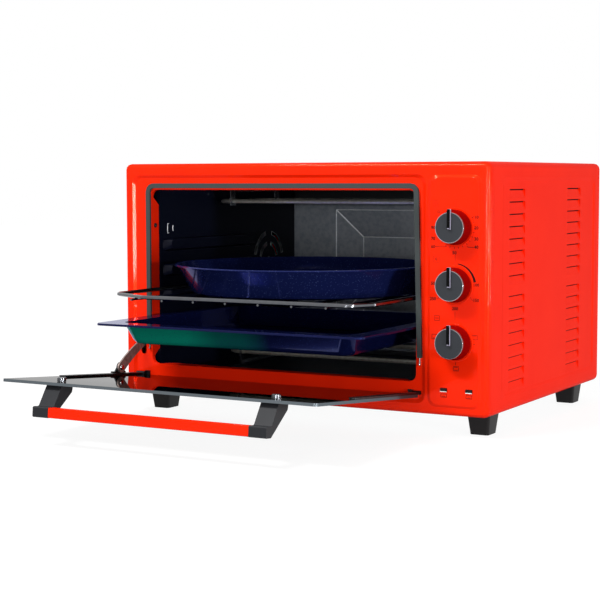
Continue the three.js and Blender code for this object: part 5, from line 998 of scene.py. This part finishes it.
# %% [markdown]
# A pale shape of bent wire on the left wall near the mouth is a painted highlight for two bright
# marks on that wall: a tall hook with both ends turned back, and a short bent tail behind it. It is
# two lines of points, so the same helper draws it. Its place was read from the picture, on the wall
# that the ray found.

# %% Painted highlight on the left wall, drawn as a wire clip
CLIP_WIRE = 0.7                                        # radius in mm
CLIP_BACK, CLIP_UP, CLIP_DEPTH, CLIP_TALL = 27.9, 266.6, 14.6, 14.0
HOOK_REACH = 3.0

near, far = (Vector((wall_x, back * MM, CLIP_UP * MM))
             for back in (-CLIP_BACK, CLIP_DEPTH - CLIP_BACK))
rise = Vector((0, 0, CLIP_TALL * MM))
reach = Vector((0, HOOK_REACH * MM, 0))
hook = [near + reach, near, near + rise, near + rise + reach]
tail = [far + 0.2 * rise, far + 0.5 * rise - 0.3 * reach, far + 0.8 * rise]
# the clip's pale wire is a painted highlight
beads("wall_clip_highlight", [hook, tail], CLIP_WIRE, crease_highlight_steel)

# %% [markdown]
# The camera stands in front of the oven and to its right, just below the height of its top, and
# looks slightly down. It could be placed by eye, but here its place was worked out from the corners
# of the cabinet in the photograph. The focal length in pixels of a 600 pixel frame gives the lens
# for a 36 mm sensor.

# %% Camera
FOCAL_PIXELS, FRAME_PIXELS, SENSOR_MM = 1527, 600, 36
CAMERA_PLACE = (1.057, -1.936, 0.348)      # metres
YAW, PITCH, ROLL = (math.radians(a) for a in (29.37, 4.55, -0.14))

sight = bpy.data.cameras.new("camera")
sight.sensor_width = SENSOR_MM
sight.lens = FOCAL_PIXELS / FRAME_PIXELS * SENSOR_MM
camera = bpy.data.objects.new("camera", sight)
bpy.context.scene.collection.objects.link(camera)
forward = Vector((-math.sin(YAW) * math.cos(PITCH), math.cos(YAW) * math.cos(PITCH),
                  -math.sin(PITCH)))
level = Vector((math.cos(YAW), math.sin(YAW), 0))
over = level.cross(forward)
side = level * math.cos(ROLL) + over * math.sin(ROLL)
turn = Matrix((side, side.cross(forward), -forward)).transposed().to_4x4()
camera.matrix_world = Matrix.Translation(Vector(CAMERA_PLACE)) @ turn
bpy.context.scene.camera = camera
bpy.context.scene.view_settings.view_transform = "Standard"
print("lens", round(sight.lens, 1), "mm")

# %% [markdown]
# The studio is a plain pale floor under an even white sky. More light on the oven would make them
# white, and would bleach its colours too. So sky and floor are white only to the camera and in
# reflections, and the sky that lights the oven is a dim one. The floor glows a little less than
# full white, and it keeps the oven's shadow.

# %% Floor and sky
SKY_LIGHT = 0.25       # of full white
FLOOR_SIZE = 14.0      # metres
FLOOR_GLOW = 0.9


def seen_directly(tree):
    """1 for camera, mirror and glass rays, and 0 for the rays that light a surface."""
    path = add(tree, "ShaderNodeLightPath")
    first = add(tree, "ShaderNodeMath", {0: path.outputs["Is Camera Ray"],
                                         1: path.outputs["Is Glossy Ray"]}, operation="MAXIMUM")
    both = add(tree, "ShaderNodeMath", {0: first.outputs[0],
                                        1: path.outputs["Is Transmission Ray"]},
               operation="MAXIMUM")
    return both.outputs[0]


world = bpy.data.worlds.new("even_sky")
bpy.context.scene.world = world
world.use_nodes = True
tree = world.node_tree
sky = tree.nodes["Background"]
sky.inputs["Color"].default_value = (1, 1, 1, 1)
strength = add(tree, "ShaderNodeMapRange", {"Value": seen_directly(tree), "To Min": SKY_LIGHT,
                                            "To Max": 1.0})
tree.links.new(strength.outputs[0], sky.inputs["Strength"])

paper, tree, shader = finish("white_paper", Base_Color=colour("5A5A5A"), Roughness=0.9,
                             Emission_Color=(1, 1, 1, 1))
glow = add(tree, "ShaderNodeMath", {0: seen_directly(tree), 1: FLOOR_GLOW}, operation="MULTIPLY")
tree.links.new(glow.outputs[0], shader.inputs["Emission Strength"])

sheet = bpy.data.meshes.new("floor")
half = FLOOR_SIZE / 2
sheet.from_pydata([(-half, -half, 0), (half, -half, 0), (half, half, 0), (-half, half, 0)], [],
                  [(0, 1, 2, 3)])
floor = bpy.data.objects.new("floor", sheet)
bpy.context.scene.collection.objects.link(floor)
sheet.materials.append(paper)
print("floor of", FLOOR_SIZE, "m under a sky of strength", SKY_LIGHT)

# %% [markdown]
# Five soft lamps add the rest of the light, at a level where a colour renders about as it is
# written. A single large one would do that too, but four of these are narrow strips, because a
# narrow lamp of the same power draws a thinner and brighter line along every rounded edge.

# %% Lamps


def softbox(name, place, aim, width, height, watts):
    """A soft lamp that looks from its place to a point on the oven."""
    lamp = bpy.data.lights.new(name, "AREA")
    lamp.shape, lamp.size, lamp.size_y, lamp.energy = "RECTANGLE", width, height, watts
    held = bpy.data.objects.new(name, lamp)
    held.location = place
    held.rotation_euler = (Vector(aim) - Vector(place)).to_track_quat("-Z", "Y").to_euler()
    bpy.context.scene.collection.objects.link(held)


softbox("overhead_strip", (-0.6, -1.25, 1.8), (0, 0, 0.2), 1.0, 0.14, 46)
softbox("right_strip", (1.95, -0.8, 0.19), (0.2, 0.1, 0.2), 0.1, 0.34, 22)
softbox("front_strip", (0.56, -2.2, 0.26), (0, 0, 0.2), 0.12, 0.4, 12)
softbox("high_window", (0.25, -2.1, 0.95), (0, 0, 0.2), 0.3, 0.3, 5)
softbox("rear_right_strip", (2.0, 1.2, 0.17), (0.29, 0.15, 0.2), 0.16, 0.3, 12)
print("five lamps")
